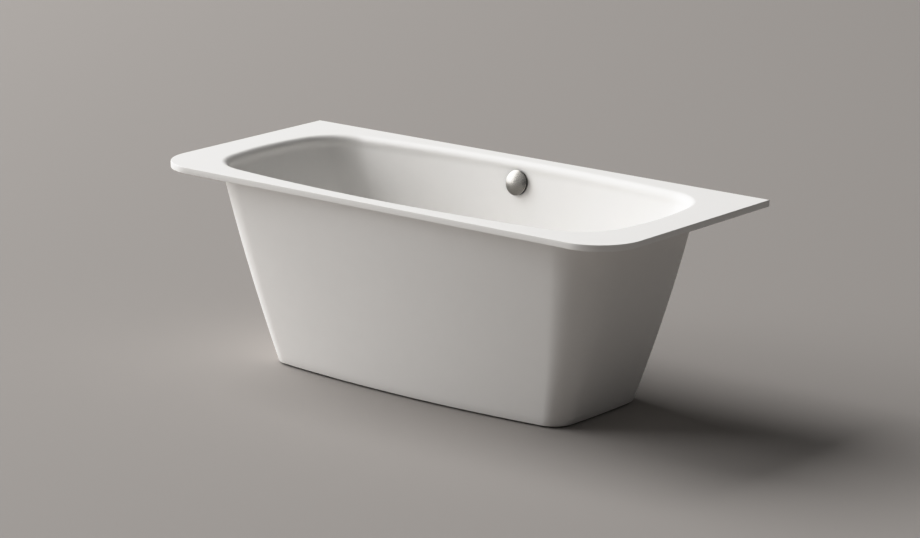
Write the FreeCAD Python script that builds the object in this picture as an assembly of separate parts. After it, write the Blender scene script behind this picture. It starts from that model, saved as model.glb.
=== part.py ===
import FreeCAD, Part
import math
import os
from collections import namedtuple

# A back-to-wall bathtub: a cast bowl with a flat rim, a tapered skirt, a carrying frame on levelling feet,
# and a waste set whose rotary overflow knob lifts the plug through a push-pull cable.
# Millimetres. The origin is on the floor under the middle of the rim. X runs along the tub, +Y points to the
# wall behind it and +Z is up.

# Overall size.
LENGTH = 1700.0
WIDTH = 750.0
HEIGHT = 605.0
FLOOR_HEIGHT = 180.0
FLOOR_GAP = 6.0

# Rim: a flat slab, square at the wall and with round corners at the front.
RIM_THICKNESS = 19.0
RIM_CORNER = 140.0
RIM_EDGE = 1.5
DECK_END = 105.0
DECK_SIDE = 41.0

# Bowl: bowed sides and ends, a rolled upper edge, sloping walls and a coved floor.
OPENING_SIDE_RADIUS = 4750.0
OPENING_END_RADIUS = 862.0
OPENING_CORNER = 174.0
ROLL = 22.0
ROLL_EASE = 20.0
BOWL_WALL = 9.0
FLOOR_LENGTH = 1060.0
FLOOR_WIDTH = 444.0
FLOOR_SIDE_RADIUS = 4300.0
FLOOR_END_RADIUS = 700.0
FLOOR_CORNER = 120.0
COVE = 70.0

# Skirt: a tapered shell that follows the bowl under the rim, open at the back for the pipework.
SHELL_GAP = 2.5
SKIRT_WALL = 8.0
SKIRT_BULGE = 9.5
SKIRT_FOOT_LENGTH = 1100.0
SKIRT_FOOT_WIDTH = 452.0
SKIRT_FOOT_SIDE_RADIUS = 4300.0
SKIRT_FOOT_END_RADIUS = 2700.0
SKIRT_FOOT_CORNER = 68.0
SERVICE_WIDTH = 560.0
BEAD_HEIGHT = 2.0
BEAD_INSET = 1.5

# Carrying frame: a board under the bowl, two steel rails, four feet and three stays to the skirt.
BOARD_THICKNESS = 15.0
BOARD_MARGIN = 6.0
BOARD_HOLE_PLAY = 6.0
RAIL_SPACING = 780.0
RAIL_LENGTH = 380.0
RAIL_WIDTH = 40.0
RAIL_HEIGHT = 25.0
RAIL_WALL = 2.0
RAIL_INNER_ROUND = 2.0
RAIL_SCREW_SPACING = 160.0
RAIL_SCREW_RADIUS = 2.5
RAIL_SCREW_HEAD_RADIUS = 5.0
RAIL_SCREW_HEAD = 3.5
RAIL_SCREW_BITE = 11.0
FOOT_SPACING = 316.0
SPINDLE_RADIUS = 6.0
SPINDLE_TOP_GAP = 1.5
PAD_RADIUS = 27.0
PAD_LIP = 4.0
PAD_SHOULDER = 9.0
PAD_NECK_RADIUS = 14.0
PAD_HEIGHT = 22.0
PAD_SOCKET = 12.0
COLLAR_FLATS = 17.0
COLLAR_HEIGHT = 8.0
NUT_FLATS = 19.0
NUT_HEIGHT = 12.0
LOCK_NUT_HEIGHT = 9.0
STAY_WIDTH = 34.0
STAY_THICKNESS = 3.0
STAY_TAB = 42.0
STAY_BEND = 2.0
STAY_LAP = 34.0
STAY_BOND = 0.6
STAY_SCREW_SPACING = 18.0
STAY_SCREW_RADIUS = 2.0
STAY_SCREW_HEAD_RADIUS = 4.0
STAY_SCREW_HEAD = 2.5
STAY_SCREW_BITE = 9.0

# Overflow, on the middle of the bowl's back wall.
OVERFLOW_DROP = 64.0
OVERFLOW_HOLE_RADIUS = 27.0
FRONT_SEAT_DEPTH = 1.0
BACK_SEAT_DEPTH = 1.2
INNER_SEAL_THICKNESS = 1.0
FLANGE_RADIUS = 36.0
FLANGE_BORE_RADIUS = 24.0
FLANGE_THICKNESS = 3.0
FLANGE_SPOKE = 6.0
FLANGE_HUB_RADIUS = 8.0
FLANGE_HUB_LENGTH = 9.0
FLANGE_EYE_RADIUS = 6.0
FLANGE_SCREW_PLACE = 17.0
FLANGE_SCREW_RADIUS = 2.0
FLANGE_SCREW_LENGTH = 26.0
FLANGE_SCREW_HEAD_RADIUS = 4.0
FLANGE_SCREW_HEAD = 2.2
GASKET_THICKNESS = 3.0
BODY_FLANGE_RADIUS = 37.0
BODY_FLANGE_THICKNESS = 4.0
CHAMBER_RADIUS = 27.5
CHAMBER_DEPTH = 30.4
BODY_WALL = 2.5
BODY_BOSS_RADIUS = 4.5
BODY_HUB_RADIUS = 7.0
SPIGOT_LENGTH = 20.0
KNOB_RADIUS = 37.5
KNOB_GAP = 8.5
KNOB_RIM = 2.5
KNOB_CROWN = 4.0
KNOB_EDGE = 1.5
KNOB_SHELL = 2.5
KNOB_BOSS_RADIUS = 9.0
KNOB_BOSS_GAP = 0.5
KNOB_SCREW_RADIUS = 1.5
SHAFT_RADIUS = 4.0
SHAFT_END_GAP = 1.0

# Rack and pinion behind the overflow, under a cover.
GEAR_MODULE = 1.0
PINION_TEETH = 16
PRESSURE_ANGLE = 20.0
DEDENDUM_SHARE = 1.25
BACKLASH = 0.12
GEAR_WIDTH = 7.0
GEAR_SIDE_PLAY = 1.0
RACK_BACK = 4.2
RACK_BELOW = 8.0
RACK_ABOVE = 20.0
GEARBOX_WALL = 2.0
GEARBOX_ABOVE = 24.0
GEARBOX_BELOW = 25.0
GEARBOX_SIDE = 11.0
COVER_THICKNESS = 2.0
COVER_SCREW_RADIUS = 1.2
COVER_SCREW_HEAD_RADIUS = 2.2
COVER_SCREW_HEAD = 1.2
COVER_SCREW_LENGTH = 9.0
COVER_BOSS_RADIUS = 3.0
GLAND_RADIUS = 5.0
GLAND_LENGTH = 12.0
GLAND_SEAT = 9.0

# Overflow pipe and push-pull cable, side by side down the back of the bowl.
PIPE_RADIUS = 14.0
PIPE_WALL = 2.0
PIPE_BEND = 70.0
PIPE_NUT_WALL = 2.7
PIPE_NUT_LENGTH = 18.0
NUT_FLUTES = 12
NUT_COLLAR_SHARE = 0.25
FLUTE_RADIUS_SHARE = 0.9
FLUTE_DEPTH_SHARE = 0.35
CABLE_RADIUS = 2.75
CABLE_BORE = 1.4
CORE_RADIUS = 1.0
CORE_REACH = 24.0
CABLE_FALL_SHARE = 0.33
CABLE_CROSSING_SHARE = 0.29
CABLE_SWEEP_SHARE = 0.9
CABLE_BEND = 80.0
CLIP_WALL = 2.0
CLIP_WIDTH = 8.0
CLIP_GAP = 6.0

# Waste in the middle of the bowl's floor.
WASTE_HOLE_RADIUS = 26.0
WASTE_RECESS_RADIUS = 36.5
WASTE_RECESS_DEPTH = 3.0
WASTE_FLANGE_RADIUS = 35.0
WASTE_FLANGE_THICKNESS = 2.5
WASTE_SEAL_THICKNESS = 1.0
WASTE_TUBE_RADIUS = 24.0
WASTE_TUBE_WALL = 2.5
WASTE_TUBE_LENGTH = 34.0
WASTE_HUB_RADIUS = 7.0
WASTE_HUB_LENGTH = 16.0
WASTE_RIB = 3.0
WASTE_RIBS = 3
LOWER_SEAL_THICKNESS = 3.0
WASTE_BODY_FLANGE_RADIUS = 46.0
WASTE_BODY_FLANGE = 6.0
WASTE_BODY_RADIUS = 42.0
WASTE_BODY_WALL = 3.5
WASTE_BODY_HEIGHT = 68.0
INLET_DROP = 50.0
INLET_LENGTH = 22.0
PLUG_RADIUS = 31.0
PLUG_RIM = 2.0
PLUG_CROWN = 4.5
PLUG_SEAL_RADIUS = 27.0
PLUG_SEAL_WIDTH = 5.0
PLUG_SEAL_THICKNESS = 2.5
PLUG_SEAT_GAP = 0.2
STEM_RADIUS = 4.0
STEM_NOSE = 4.0
STEM_NOSE_RADIUS = 1.5

# Bell crank that lifts the plug: a lever inside the waste body and an arm outside it, on one shaft.
LEVER_LENGTH = 22.0
LEVER_SWING = 26.0
LEVER_TIP_RADIUS = 2.5
LEVER_HUB_RADIUS = 6.0
LEVER_WIDTH = 10.0
LEVER_HEIGHT_ABOVE_FLOOR = 22.0
LEVER_SHAFT_RADIUS = 3.0
BEARING_RADIUS = 8.0
BEARING_REACH = 45.0
BEARING_LENGTH = 20.0
CRANK_PLACE = 50.0
CRANK_THICKNESS = 4.0
CRANK_HUB_RADIUS = 6.5
CRANK_EYE_RADIUS = 5.0
CRANK_PIN_RADIUS = 2.0
CRANK_PIN_HEAD_RADIUS = 3.2
CRANK_PIN_HEAD = 1.2
CABLE_END_CHEEK = 3.0
CABLE_END_BLOCK = 8.0
CABLE_END_GAP = 3.0
CABLE_END_HEIGHT = 12.0
SLOT_PLAY = 0.3
LEVER_PLAY = 0.35
STOP_THICKNESS = 5.0
STOP_EYE_RADIUS = 6.0
STOP_EYE_LENGTH = 10.0

# Trap and outlet under the waste body.
TRAP_RADIUS = 20.0
TRAP_WALL = 2.0
TRAP_BEND = 34.0
TRAP_STRAIGHT = 5.0
TRAP_SPIGOT = 16.0
TRAP_NUT_WALL = 6.0
TRAP_NUT_LENGTH = 20.0
TRAP_TAIL = 18.0
OUTLET_END = 340.0
OUTLET_FREE = 45.0
OUTLET_BEAD = 2.5
OUTLET_BEAD_WIDTH = 4.0

# Clearances, and the overrun of every cut.
RUNNING_PLAY = 0.06
SEAT_PLAY = 0.04
GUIDE_PLAY = 0.15
OVERRUN = 5.0

Vector = FreeCAD.Vector
X_AXIS = Vector(1, 0, 0)
Y_AXIS = Vector(0, 1, 0)
Z_AXIS = Vector(0, 0, 1)

# How finely the curved profiles are sectioned.
ROLL_STEPS = 4
COVE_STEPS = 4
EASE_SHARES = (0.0, 0.5, 1.0)
WALL_SHARES = (0.3, 0.65, 1.0)
SKIRT_SHARES = (0.0, 0.25, 0.5, 0.75, 1.0)
FLANK_STEPS = 4

Outline = namedtuple("Outline", "half_length half_width side_radius end_radius corner")


def grown(outline, by):
    """The outline moved outwards by the same distance all round."""
    return Outline(*(value + by for value in outline))


def between(first, second, share):
    """The outline that lies at this share of the way from the first to the second."""
    return Outline(*(a + share * (b - a) for a, b in zip(first, second)))


def unit(vector):
    return Vector(vector).normalize()


def outline_wire(outline, height):
    """A closed wire of tangent arcs: two bowed sides and two bowed ends, in halves, and four corners."""
    side_centre = Vector(0, outline.half_width - outline.side_radius, 0)
    end_centre = Vector(outline.half_length - outline.end_radius, 0, 0)
    side_reach = outline.side_radius - outline.corner
    end_reach = outline.end_radius - outline.corner
    distance = (end_centre - side_centre).Length
    line = unit(end_centre - side_centre)
    along = (distance ** 2 + side_reach ** 2 - end_reach ** 2) / (2 * distance)
    across = math.sqrt(side_reach ** 2 - along ** 2)
    corner_centre = side_centre + line * along + Vector(line.y, -line.x, 0) * across
    end_way = unit(corner_centre - end_centre)
    side_way = unit(corner_centre - side_centre)
    end_join = end_centre + end_way * outline.end_radius
    side_join = side_centre + side_way * outline.side_radius
    knee = corner_centre + unit(end_way + side_way) * outline.corner
    tip = Vector(outline.half_length, 0, 0)
    belly = Vector(0, outline.half_width, 0)
    end_middle = end_centre + unit(X_AXIS + end_way) * outline.end_radius
    side_middle = side_centre + unit(Y_AXIS + side_way) * outline.side_radius
    quarter = [tip, end_middle, end_join, knee, side_join, side_middle, belly]
    half = quarter + [Vector(-point.x, point.y, 0) for point in reversed(quarter[:-1])]
    loop = half + [Vector(-point.x, -point.y, 0) for point in half[1:-1]]
    points = [lifted(point, height) for point in loop]
    arcs = []
    for start in range(0, len(points), 2):
        stop = (start + 2) % len(points)
        arcs.append(Part.Arc(points[start], points[start + 1], points[stop]).toShape())
    return Part.Wire(arcs)


def loft(sections):
    """A solid through outlines, each given with its height."""
    return Part.makeLoft([outline_wire(outline, height) for outline, height in sections], True)


def level_faces(solid):
    """The flat level faces of a solid, the lowest first."""
    flat = [face for face in solid.Faces if face.BoundBox.ZLength < RUNNING_PLAY]
    return sorted(flat, key=lambda face: face.CenterOfMass.z)


def wall_faces(solid):
    """The faces of a solid between its level ones."""
    return [face for face in solid.Faces if face.BoundBox.ZLength >= RUNNING_PLAY]


def ring_face(outer, inner):
    """A flat face with a hole, from the outlines of two flat faces at one level."""
    return Part.makeFace([outer.OuterWire, inner.OuterWire], "Part::FaceMakerBullseye")


def closed_skin(faces):
    """A solid from faces that meet edge to edge all round."""
    skin = Part.makeShell(faces)
    skin.sewShape()
    solid = Part.makeSolid(skin)
    if solid.Volume < 0:
        solid.reverse()
    return solid


def slab(outline, low, high):
    face = Part.Face(outline_wire(outline, low))
    return face.extrude(Vector(0, 0, high - low))


def lifted(point, height):
    return Vector(point.x, point.y, height)


def post(place, low, high, radius):
    """An upright round solid over a place on the floor."""
    return rod(lifted(place, low), lifted(place, high), radius)


def upright(radius, low, high):
    """A round solid on the tub's upright middle axis."""
    return post(Vector(0, 0, 0), low, high, radius)


def upright_ring(outer, inner, low, high):
    return upright(outer, low, high).cut(upright(inner, low - OVERRUN, high + OVERRUN))


def box(low, high):
    size = high - low
    return Part.makeBox(size.x, size.y, size.z, low)


def rod(start, end, radius):
    return Part.makeCylinder(radius, (end - start).Length, start, end - start)


def tube(start, end, outer, inner):
    return rod(start, end, outer).cut(rod(start, end, inner))


def hexagon(flats, low, high, centre):
    """A hexagonal prism on an upright axis."""
    reach = flats / math.sqrt(3)
    points = []
    for corner in range(7):
        angle = math.radians(60 * corner)
        points.append(Vector(centre.x + reach * math.cos(angle), centre.y + reach * math.sin(angle), low))
    return Part.Face(Part.makePolygon(points)).extrude(Vector(0, 0, high - low))


def turned(profile):
    """A solid of revolution about the Z axis from a closed list of edges in the XZ plane."""
    return Part.Face(Part.Wire(profile)).revolve(Vector(0, 0, 0), Z_AXIS, 360)


def dome_edge(radius, foot, rise):
    """The profile of a shallow dome, from its edge to its crown on the axis."""
    sphere = (radius ** 2 + rise ** 2) / (2 * rise)
    halfway = foot + rise - sphere + math.sqrt(sphere ** 2 - (radius / 2) ** 2)
    crown = Vector(0, 0, foot + rise)
    return Part.Arc(Vector(radius, 0, foot), Vector(radius / 2, 0, halfway), crown).toShape()


def polyline(points):
    return [Part.LineSegment(a, b).toShape() for a, b in zip(points, points[1:]) if (b - a).Length > 0]


def bent_path(points, bends):
    """A wire of straight runs joined by tangent arcs, one bend radius for each corner."""
    edges = []
    last = points[0]
    for before, corner, after, radius in zip(points, points[1:], points[2:], bends):
        way_in = unit(corner - before)
        way_out = unit(after - corner)
        turn = way_in.getAngle(way_out)
        back = radius * math.tan(turn / 2)
        start = corner - way_in * back
        end = corner + way_out * back
        middle = corner + unit(way_out - way_in) * (radius / math.cos(turn / 2) - radius)
        edges.append(Part.LineSegment(last, start).toShape())
        edges.append(Part.Arc(start, middle, end).toShape())
        last = end
    edges.append(Part.LineSegment(last, points[-1]).toShape())
    return Part.Wire(edges)


def swept(path, start, way, radius):
    circle = Part.Wire(Part.Circle(start, way, radius).toShape())
    return path.makePipeShell([circle], True, False)


def bent_tube(points, bends, outer, inner):
    path = bent_path(points, bends)
    way = points[1] - points[0]
    return swept(path, points[0], way, outer).cut(swept(path, points[0], way, inner))


def joined(first, *others):
    return first.fuse(list(others)).removeSplitter()


def save(name, *solids):
    """Write one piece, or one group of like pieces, under its own name."""
    shape = solids[0] if len(solids) == 1 else Part.makeCompound(list(solids))
    shape.exportStep(os.path.join("parts", name + ".step"))
    print(name, len(shape.Solids), "valid" if shape.isValid() else "NOT VALID", round(shape.Volume))


# Levels and outlines that the shells share.
OPENING = Outline(LENGTH / 2 - DECK_END, WIDTH / 2 - DECK_SIDE, OPENING_SIDE_RADIUS,
                  OPENING_END_RADIUS, OPENING_CORNER)
WALL_TOP = grown(OPENING, -ROLL)
BOWL_DEPTH = HEIGHT - FLOOR_HEIGHT
BOWL_FLOOR = Outline(FLOOR_LENGTH / 2, FLOOR_WIDTH / 2, FLOOR_SIDE_RADIUS, FLOOR_END_RADIUS, FLOOR_CORNER)
WALL_RUN = BOWL_DEPTH - ROLL - ROLL_EASE / 2
RIM_UNDER = HEIGHT - RIM_THICKNESS
FLOOR_TOP = FLOOR_HEIGHT
FLOOR_UNDER = FLOOR_TOP - BOWL_WALL
SKIRT_TOP = grown(WALL_TOP, BOWL_WALL + SHELL_GAP + SKIRT_WALL)
SKIRT_FOOT = Outline(SKIRT_FOOT_LENGTH / 2, SKIRT_FOOT_WIDTH / 2, SKIRT_FOOT_SIDE_RADIUS,
                     SKIRT_FOOT_END_RADIUS, SKIRT_FOOT_CORNER)
SKIRT_HIGH = RIM_UNDER - BEAD_HEIGHT
BOARD_UNDER = FLOOR_UNDER - BOARD_THICKNESS
RAIL_UNDER = BOARD_UNDER - RAIL_HEIGHT


def shell_outline(depth, wall):
    """Outline of the bowl at this depth: its inner face, or its outer one with the wall added."""
    fall = max(depth - ROLL, 0)
    eased = fall ** 2 / (2 * ROLL_EASE) if fall < ROLL_EASE else fall - ROLL_EASE / 2
    cove = COVE + wall
    left = BOWL_DEPTH + wall - depth
    inset = cove - math.sqrt(cove ** 2 - (cove - left) ** 2) if left < cove else 0
    return grown(between(WALL_TOP, BOWL_FLOOR, eased / WALL_RUN), wall - inset)


def wall_depths(wall):
    """Depths of the sections from the foot of the rolled edge to the floor."""
    ease_end = ROLL + ROLL_EASE
    cove_start = BOWL_DEPTH - COVE
    depths = [ROLL + ROLL_EASE * share for share in EASE_SHARES]
    depths += [ease_end + (cove_start - ease_end) * share for share in WALL_SHARES]
    for step in range(1, COVE_STEPS + 1):
        angle = math.radians(90 * step / COVE_STEPS)
        depths.append(cove_start + (COVE + wall) * math.sin(angle))
    return depths


def roll_sections():
    """The rolled edge, a quarter round from the flat deck down into the bowl."""
    sections = []
    for step in range(ROLL_STEPS):
        angle = math.radians(90 * step / ROLL_STEPS)
        drop = ROLL * (1 - math.cos(angle))
        sections.append((grown(OPENING, -ROLL * math.sin(angle)), HEIGHT - drop))
    return sections


def rim_slab():
    back = WIDTH / 2
    end = LENGTH / 2
    straight = back - RIM_CORNER
    reach = end - RIM_CORNER
    knee = RIM_CORNER * math.sqrt(0.5)
    edges = polyline([Vector(end, -straight, RIM_UNDER), Vector(end, back, RIM_UNDER),
                      Vector(-end, back, RIM_UNDER), Vector(-end, -straight, RIM_UNDER)])
    edges.append(Part.Arc(Vector(-end, -straight, RIM_UNDER),
                          Vector(-reach - knee, -straight - knee, RIM_UNDER),
                          Vector(-reach, -back, RIM_UNDER)).toShape())
    edges += polyline([Vector(-reach, -back, RIM_UNDER), Vector(reach, -back, RIM_UNDER)])
    edges.append(Part.Arc(Vector(reach, -back, RIM_UNDER),
                          Vector(reach + knee, -straight - knee, RIM_UNDER),
                          Vector(end, -straight, RIM_UNDER)).toShape())
    plate = Part.Face(Part.Wire(edges)).extrude(Vector(0, 0, RIM_THICKNESS))
    level = [edge for edge in plate.Edges if edge.BoundBox.ZLength < RIM_EDGE]
    return plate.makeFillet(RIM_EDGE, level)


# The overflow stands square to the sloping back wall: its own frame has Y up the wall and Z into the bowl.
WALL_LEAN = (WALL_TOP.half_width - BOWL_FLOOR.half_width) / WALL_RUN
LEAN_ANGLE = math.atan(WALL_LEAN)
OVERFLOW_POINT = Vector(0, shell_outline(OVERFLOW_DROP, 0).half_width, HEIGHT - OVERFLOW_DROP)
OVERFLOW_PLACE = FreeCAD.Placement(OVERFLOW_POINT, FreeCAD.Rotation(X_AXIS, 90 - math.degrees(LEAN_ANGLE)))
FRONT_SEAT = -FRONT_SEAT_DEPTH
BACK_SEAT = BACK_SEAT_DEPTH - BOWL_WALL * math.cos(LEAN_ANGLE)
FLANGE_BACK = FRONT_SEAT + INNER_SEAL_THICKNESS
FLANGE_FRONT = FLANGE_BACK + FLANGE_THICKNESS
GASKET_BACK = BACK_SEAT - GASKET_THICKNESS
CHAMBER_BACK = GASKET_BACK - CHAMBER_DEPTH
BODY_BACK = CHAMBER_BACK - BODY_WALL
GEAR_FRONT = BODY_BACK - GEAR_SIDE_PLAY
GEAR_BACK = GEAR_FRONT - GEAR_WIDTH
GEARBOX_BACK = GEAR_BACK - GEAR_SIDE_PLAY - BODY_WALL
COVER_BACK = GEARBOX_BACK - COVER_THICKNESS
PIPE_LINE = CHAMBER_BACK + PIPE_RADIUS
SPIGOT_FOOT = -CHAMBER_RADIUS - SPIGOT_LENGTH
PITCH_RADIUS = GEAR_MODULE * PINION_TEETH / 2
RACK_ROOT = PITCH_RADIUS + DEDENDUM_SHARE * GEAR_MODULE
RACK_SIDE = RACK_ROOT + RACK_BACK
CABLE_SIDE = (RACK_ROOT + RACK_SIDE) / 2
CABLE_LINE = (GEAR_FRONT + GEAR_BACK) / 2
GEARBOX_FOOT = -GEARBOX_BELOW - GEARBOX_WALL
CABLE_TOP = GEARBOX_FOOT - GLAND_LENGTH + GLAND_SEAT
RACK_TRAVEL = PITCH_RADIUS * math.radians(90)


def on_wall(shape):
    """Move a shape from the overflow's own frame to its place on the tub."""
    placed = shape.copy()
    placed.Placement = OVERFLOW_PLACE
    return placed


def wall_spot(x, y, z):
    return OVERFLOW_PLACE.multVec(Vector(x, y, z))


def cable_rod(top, foot, radius):
    """A round solid on the cable's line beside the pinion."""
    return rod(Vector(CABLE_SIDE, top, CABLE_LINE), Vector(CABLE_SIDE, foot, CABLE_LINE), radius)


def axle(radius, low, high, x=0, y=0):
    """A round solid along the overflow's axis."""
    return rod(Vector(x, y, low), Vector(x, y, high), radius)


# Shells.
def basin():
    inside = roll_sections()
    inside += [(shell_outline(depth, 0), HEIGHT - depth) for depth in wall_depths(0)]
    outside_depths = [RIM_THICKNESS] + [depth for depth in wall_depths(BOWL_WALL) if depth > RIM_THICKNESS]
    outside = loft([(shell_outline(depth, BOWL_WALL), HEIGHT - depth) for depth in outside_depths])
    cavity = loft(inside)
    plate = rim_slab()
    plate_under, plate_top = level_faces(plate)
    cavity_floor, cavity_mouth = level_faces(cavity)
    underside, outside_top = level_faces(outside)
    shape = closed_skin(wall_faces(plate) + wall_faces(cavity) + wall_faces(outside)
                        + [ring_face(plate_top, cavity_mouth), ring_face(plate_under, outside_top)]
                        + [cavity_floor, underside])
    waste_hole = upright(WASTE_HOLE_RADIUS, FLOOR_UNDER - OVERRUN, FLOOR_TOP + OVERRUN)
    waste_recess = upright(WASTE_RECESS_RADIUS, FLOOR_TOP - WASTE_RECESS_DEPTH, FLOOR_TOP + OVERRUN)
    overflow_hole = axle(OVERFLOW_HOLE_RADIUS, -BOWL_WALL - OVERRUN, OVERRUN)
    front_seat = axle(FLANGE_RADIUS + OVERRUN / 2, FRONT_SEAT, OVERRUN)
    back_seat = axle(BODY_FLANGE_RADIUS + OVERRUN / 2, -BOWL_WALL - OVERRUN, BACK_SEAT)
    wall_cuts = [on_wall(cut) for cut in (overflow_hole, front_seat, back_seat)]
    return shape.cut([waste_hole, waste_recess] + wall_cuts)


def skirt_outline(height, inset):
    """Outline of the skirt at this height, its outer face or one set in from it."""
    share = (SKIRT_HIGH - height) / (SKIRT_HIGH - FLOOR_GAP)
    plain = between(SKIRT_TOP, SKIRT_FOOT, share)
    bulged = plain._replace(half_length=plain.half_length + SKIRT_BULGE * 4 * share * (1 - share))
    return grown(bulged, -inset)


def skirt_core(inset):
    heights = [SKIRT_HIGH + (FLOOR_GAP - SKIRT_HIGH) * share for share in SKIRT_SHARES]
    return loft([(skirt_outline(height, inset), height) for height in heights])


def service_opening():
    return box(Vector(-SERVICE_WIDTH / 2, 0, -OVERRUN), Vector(SERVICE_WIDTH / 2, WIDTH, HEIGHT))


def skirt():
    outer = skirt_core(0)
    inner = skirt_core(SKIRT_WALL)
    ends = [ring_face(*pair) for pair in zip(level_faces(outer), level_faces(inner))]
    return closed_skin(wall_faces(outer) + wall_faces(inner) + ends).cut(service_opening())


def bonding_bead():
    outer = slab(grown(SKIRT_TOP, -BEAD_INSET), SKIRT_HIGH, RIM_UNDER)
    inner = slab(grown(SKIRT_TOP, BEAD_INSET - SKIRT_WALL), SKIRT_HIGH, RIM_UNDER)
    return outer.cut([inner, service_opening()])


# Carrying frame.
BOARD = grown(shell_outline(BOWL_DEPTH + BOWL_WALL, BOWL_WALL), -BOARD_MARGIN)
SIDES = (("left", -1), ("right", 1))
ROWS = (("front", -1), ("back", 1))


def rail_screw_places():
    return [Vector(side * RAIL_SPACING / 2, row * RAIL_SCREW_SPACING / 2, 0)
            for _, side in SIDES for _, row in ROWS]


def foot_places():
    places = {}
    for row_name, row in ROWS:
        for side_name, side in SIDES:
            places[row_name + "_" + side_name] = Vector(side * RAIL_SPACING / 2, row * FOOT_SPACING / 2, 0)
    return places


def stay_frames():
    """For each stay: where the board ends, the way out, and the skirt's inner reach at two heights."""
    high = skirt_outline(BOARD_UNDER, SKIRT_WALL + STAY_BOND)
    low = skirt_outline(BOARD_UNDER - STAY_TAB, SKIRT_WALL + STAY_BOND)
    return {"front": (BOARD.half_width, Vector(0, -1, 0), high.half_width, low.half_width),
            "left": (BOARD.half_length, Vector(-1, 0, 0), high.half_length, low.half_length),
            "right": (BOARD.half_length, Vector(1, 0, 0), high.half_length, low.half_length)}


def stay_screw_places():
    places = []
    for edge, way, _, _ in stay_frames().values():
        across = way.cross(Z_AXIS)
        for hand in (-1, 1):
            places.append(way * (edge - STAY_LAP / 2) + across * (hand * STAY_SCREW_SPACING / 2))
    return places


def base_board():
    board = slab(BOARD, BOARD_UNDER, FLOOR_UNDER)
    hole = WASTE_BODY_FLANGE_RADIUS + BOARD_HOLE_PLAY
    cuts = [upright(hole, BOARD_UNDER - OVERRUN, FLOOR_UNDER + OVERRUN)]
    for place in rail_screw_places():
        depth = RAIL_SCREW_BITE + SEAT_PLAY
        cuts.append(post(place, BOARD_UNDER, BOARD_UNDER + depth, RAIL_SCREW_RADIUS + SEAT_PLAY))
    for place in stay_screw_places():
        depth = STAY_SCREW_BITE + SEAT_PLAY
        cuts.append(post(place, BOARD_UNDER, BOARD_UNDER + depth, STAY_SCREW_RADIUS + SEAT_PLAY))
    return board.cut(cuts)


def long_rounds(bar, radius):
    """A bar across the tub with its four long edges rounded."""
    return bar.makeFillet(radius, [edge for edge in bar.Edges if edge.BoundBox.YLength > RAIL_LENGTH / 2])


def rail(side):
    """A rectangular steel tube across the tub, with holes for its feet and screws."""
    centre = side * RAIL_SPACING / 2
    half = Vector(RAIL_WIDTH / 2, RAIL_LENGTH / 2, 0)
    hollow = half - Vector(RAIL_WALL, -OVERRUN, 0)
    outer = box(Vector(centre, 0, RAIL_UNDER) - half, Vector(centre, 0, BOARD_UNDER) + half)
    inner = box(Vector(centre, 0, RAIL_UNDER + RAIL_WALL) - hollow,
                Vector(centre, 0, BOARD_UNDER - RAIL_WALL) + hollow)
    low = RAIL_UNDER - OVERRUN
    cuts = [long_rounds(inner, RAIL_INNER_ROUND)]
    for place in rail_screw_places():
        cuts.append(post(place, low, BOARD_UNDER + OVERRUN, RAIL_SCREW_RADIUS + SEAT_PLAY))
    for place in foot_places().values():
        cuts.append(post(place, low, RAIL_UNDER + RAIL_HEIGHT / 2, SPINDLE_RADIUS + GUIDE_PLAY))
    return long_rounds(outer, RAIL_INNER_ROUND + RAIL_WALL).cut(cuts)


def screw_up(place, seat, length, radius, head_radius, head):
    """A screw driven upwards, with its head under the seat."""
    return joined(post(place, seat - head, seat, head_radius), post(place, seat, seat + length, radius))


def rail_screws():
    length = RAIL_HEIGHT + RAIL_SCREW_BITE
    return [screw_up(place, RAIL_UNDER, length, RAIL_SCREW_RADIUS, RAIL_SCREW_HEAD_RADIUS, RAIL_SCREW_HEAD)
            for place in rail_screw_places()]


def nuts(low, high):
    """One hexagon nut on each foot's spindle."""
    bore = SPINDLE_RADIUS + RUNNING_PLAY
    return [hexagon(NUT_FLATS, low, high, place).cut(post(place, low, high, bore))
            for place in foot_places().values()]


def foot_spindle(place):
    """A threaded rod with a hexagon collar that rests on its pad."""
    top = BOARD_UNDER - RAIL_WALL - SPINDLE_TOP_GAP
    stem = post(place, PAD_HEIGHT - PAD_SOCKET, top, SPINDLE_RADIUS)
    return joined(stem, hexagon(COLLAR_FLATS, PAD_HEIGHT, PAD_HEIGHT + COLLAR_HEIGHT, place))


def foot_pad(place):
    """A turned foot with a broad base, a sloping shoulder and a socket for the spindle."""
    socket = SPINDLE_RADIUS + SEAT_PLAY
    floor = PAD_HEIGHT - PAD_SOCKET
    points = [Vector(0, 0, 0), Vector(PAD_RADIUS, 0, 0), Vector(PAD_RADIUS, 0, PAD_LIP),
              Vector(PAD_NECK_RADIUS, 0, PAD_SHOULDER), Vector(PAD_NECK_RADIUS, 0, PAD_HEIGHT),
              Vector(socket, 0, PAD_HEIGHT), Vector(socket, 0, floor), Vector(0, 0, floor), Vector(0, 0, 0)]
    return turned(polyline(points)).translated(place)


def edge_at(shape, middle):
    """The edge whose middle lies nearest to a point."""
    return min(shape.Edges, key=lambda edge: (edge.CenterOfMass - middle).Length)


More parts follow.
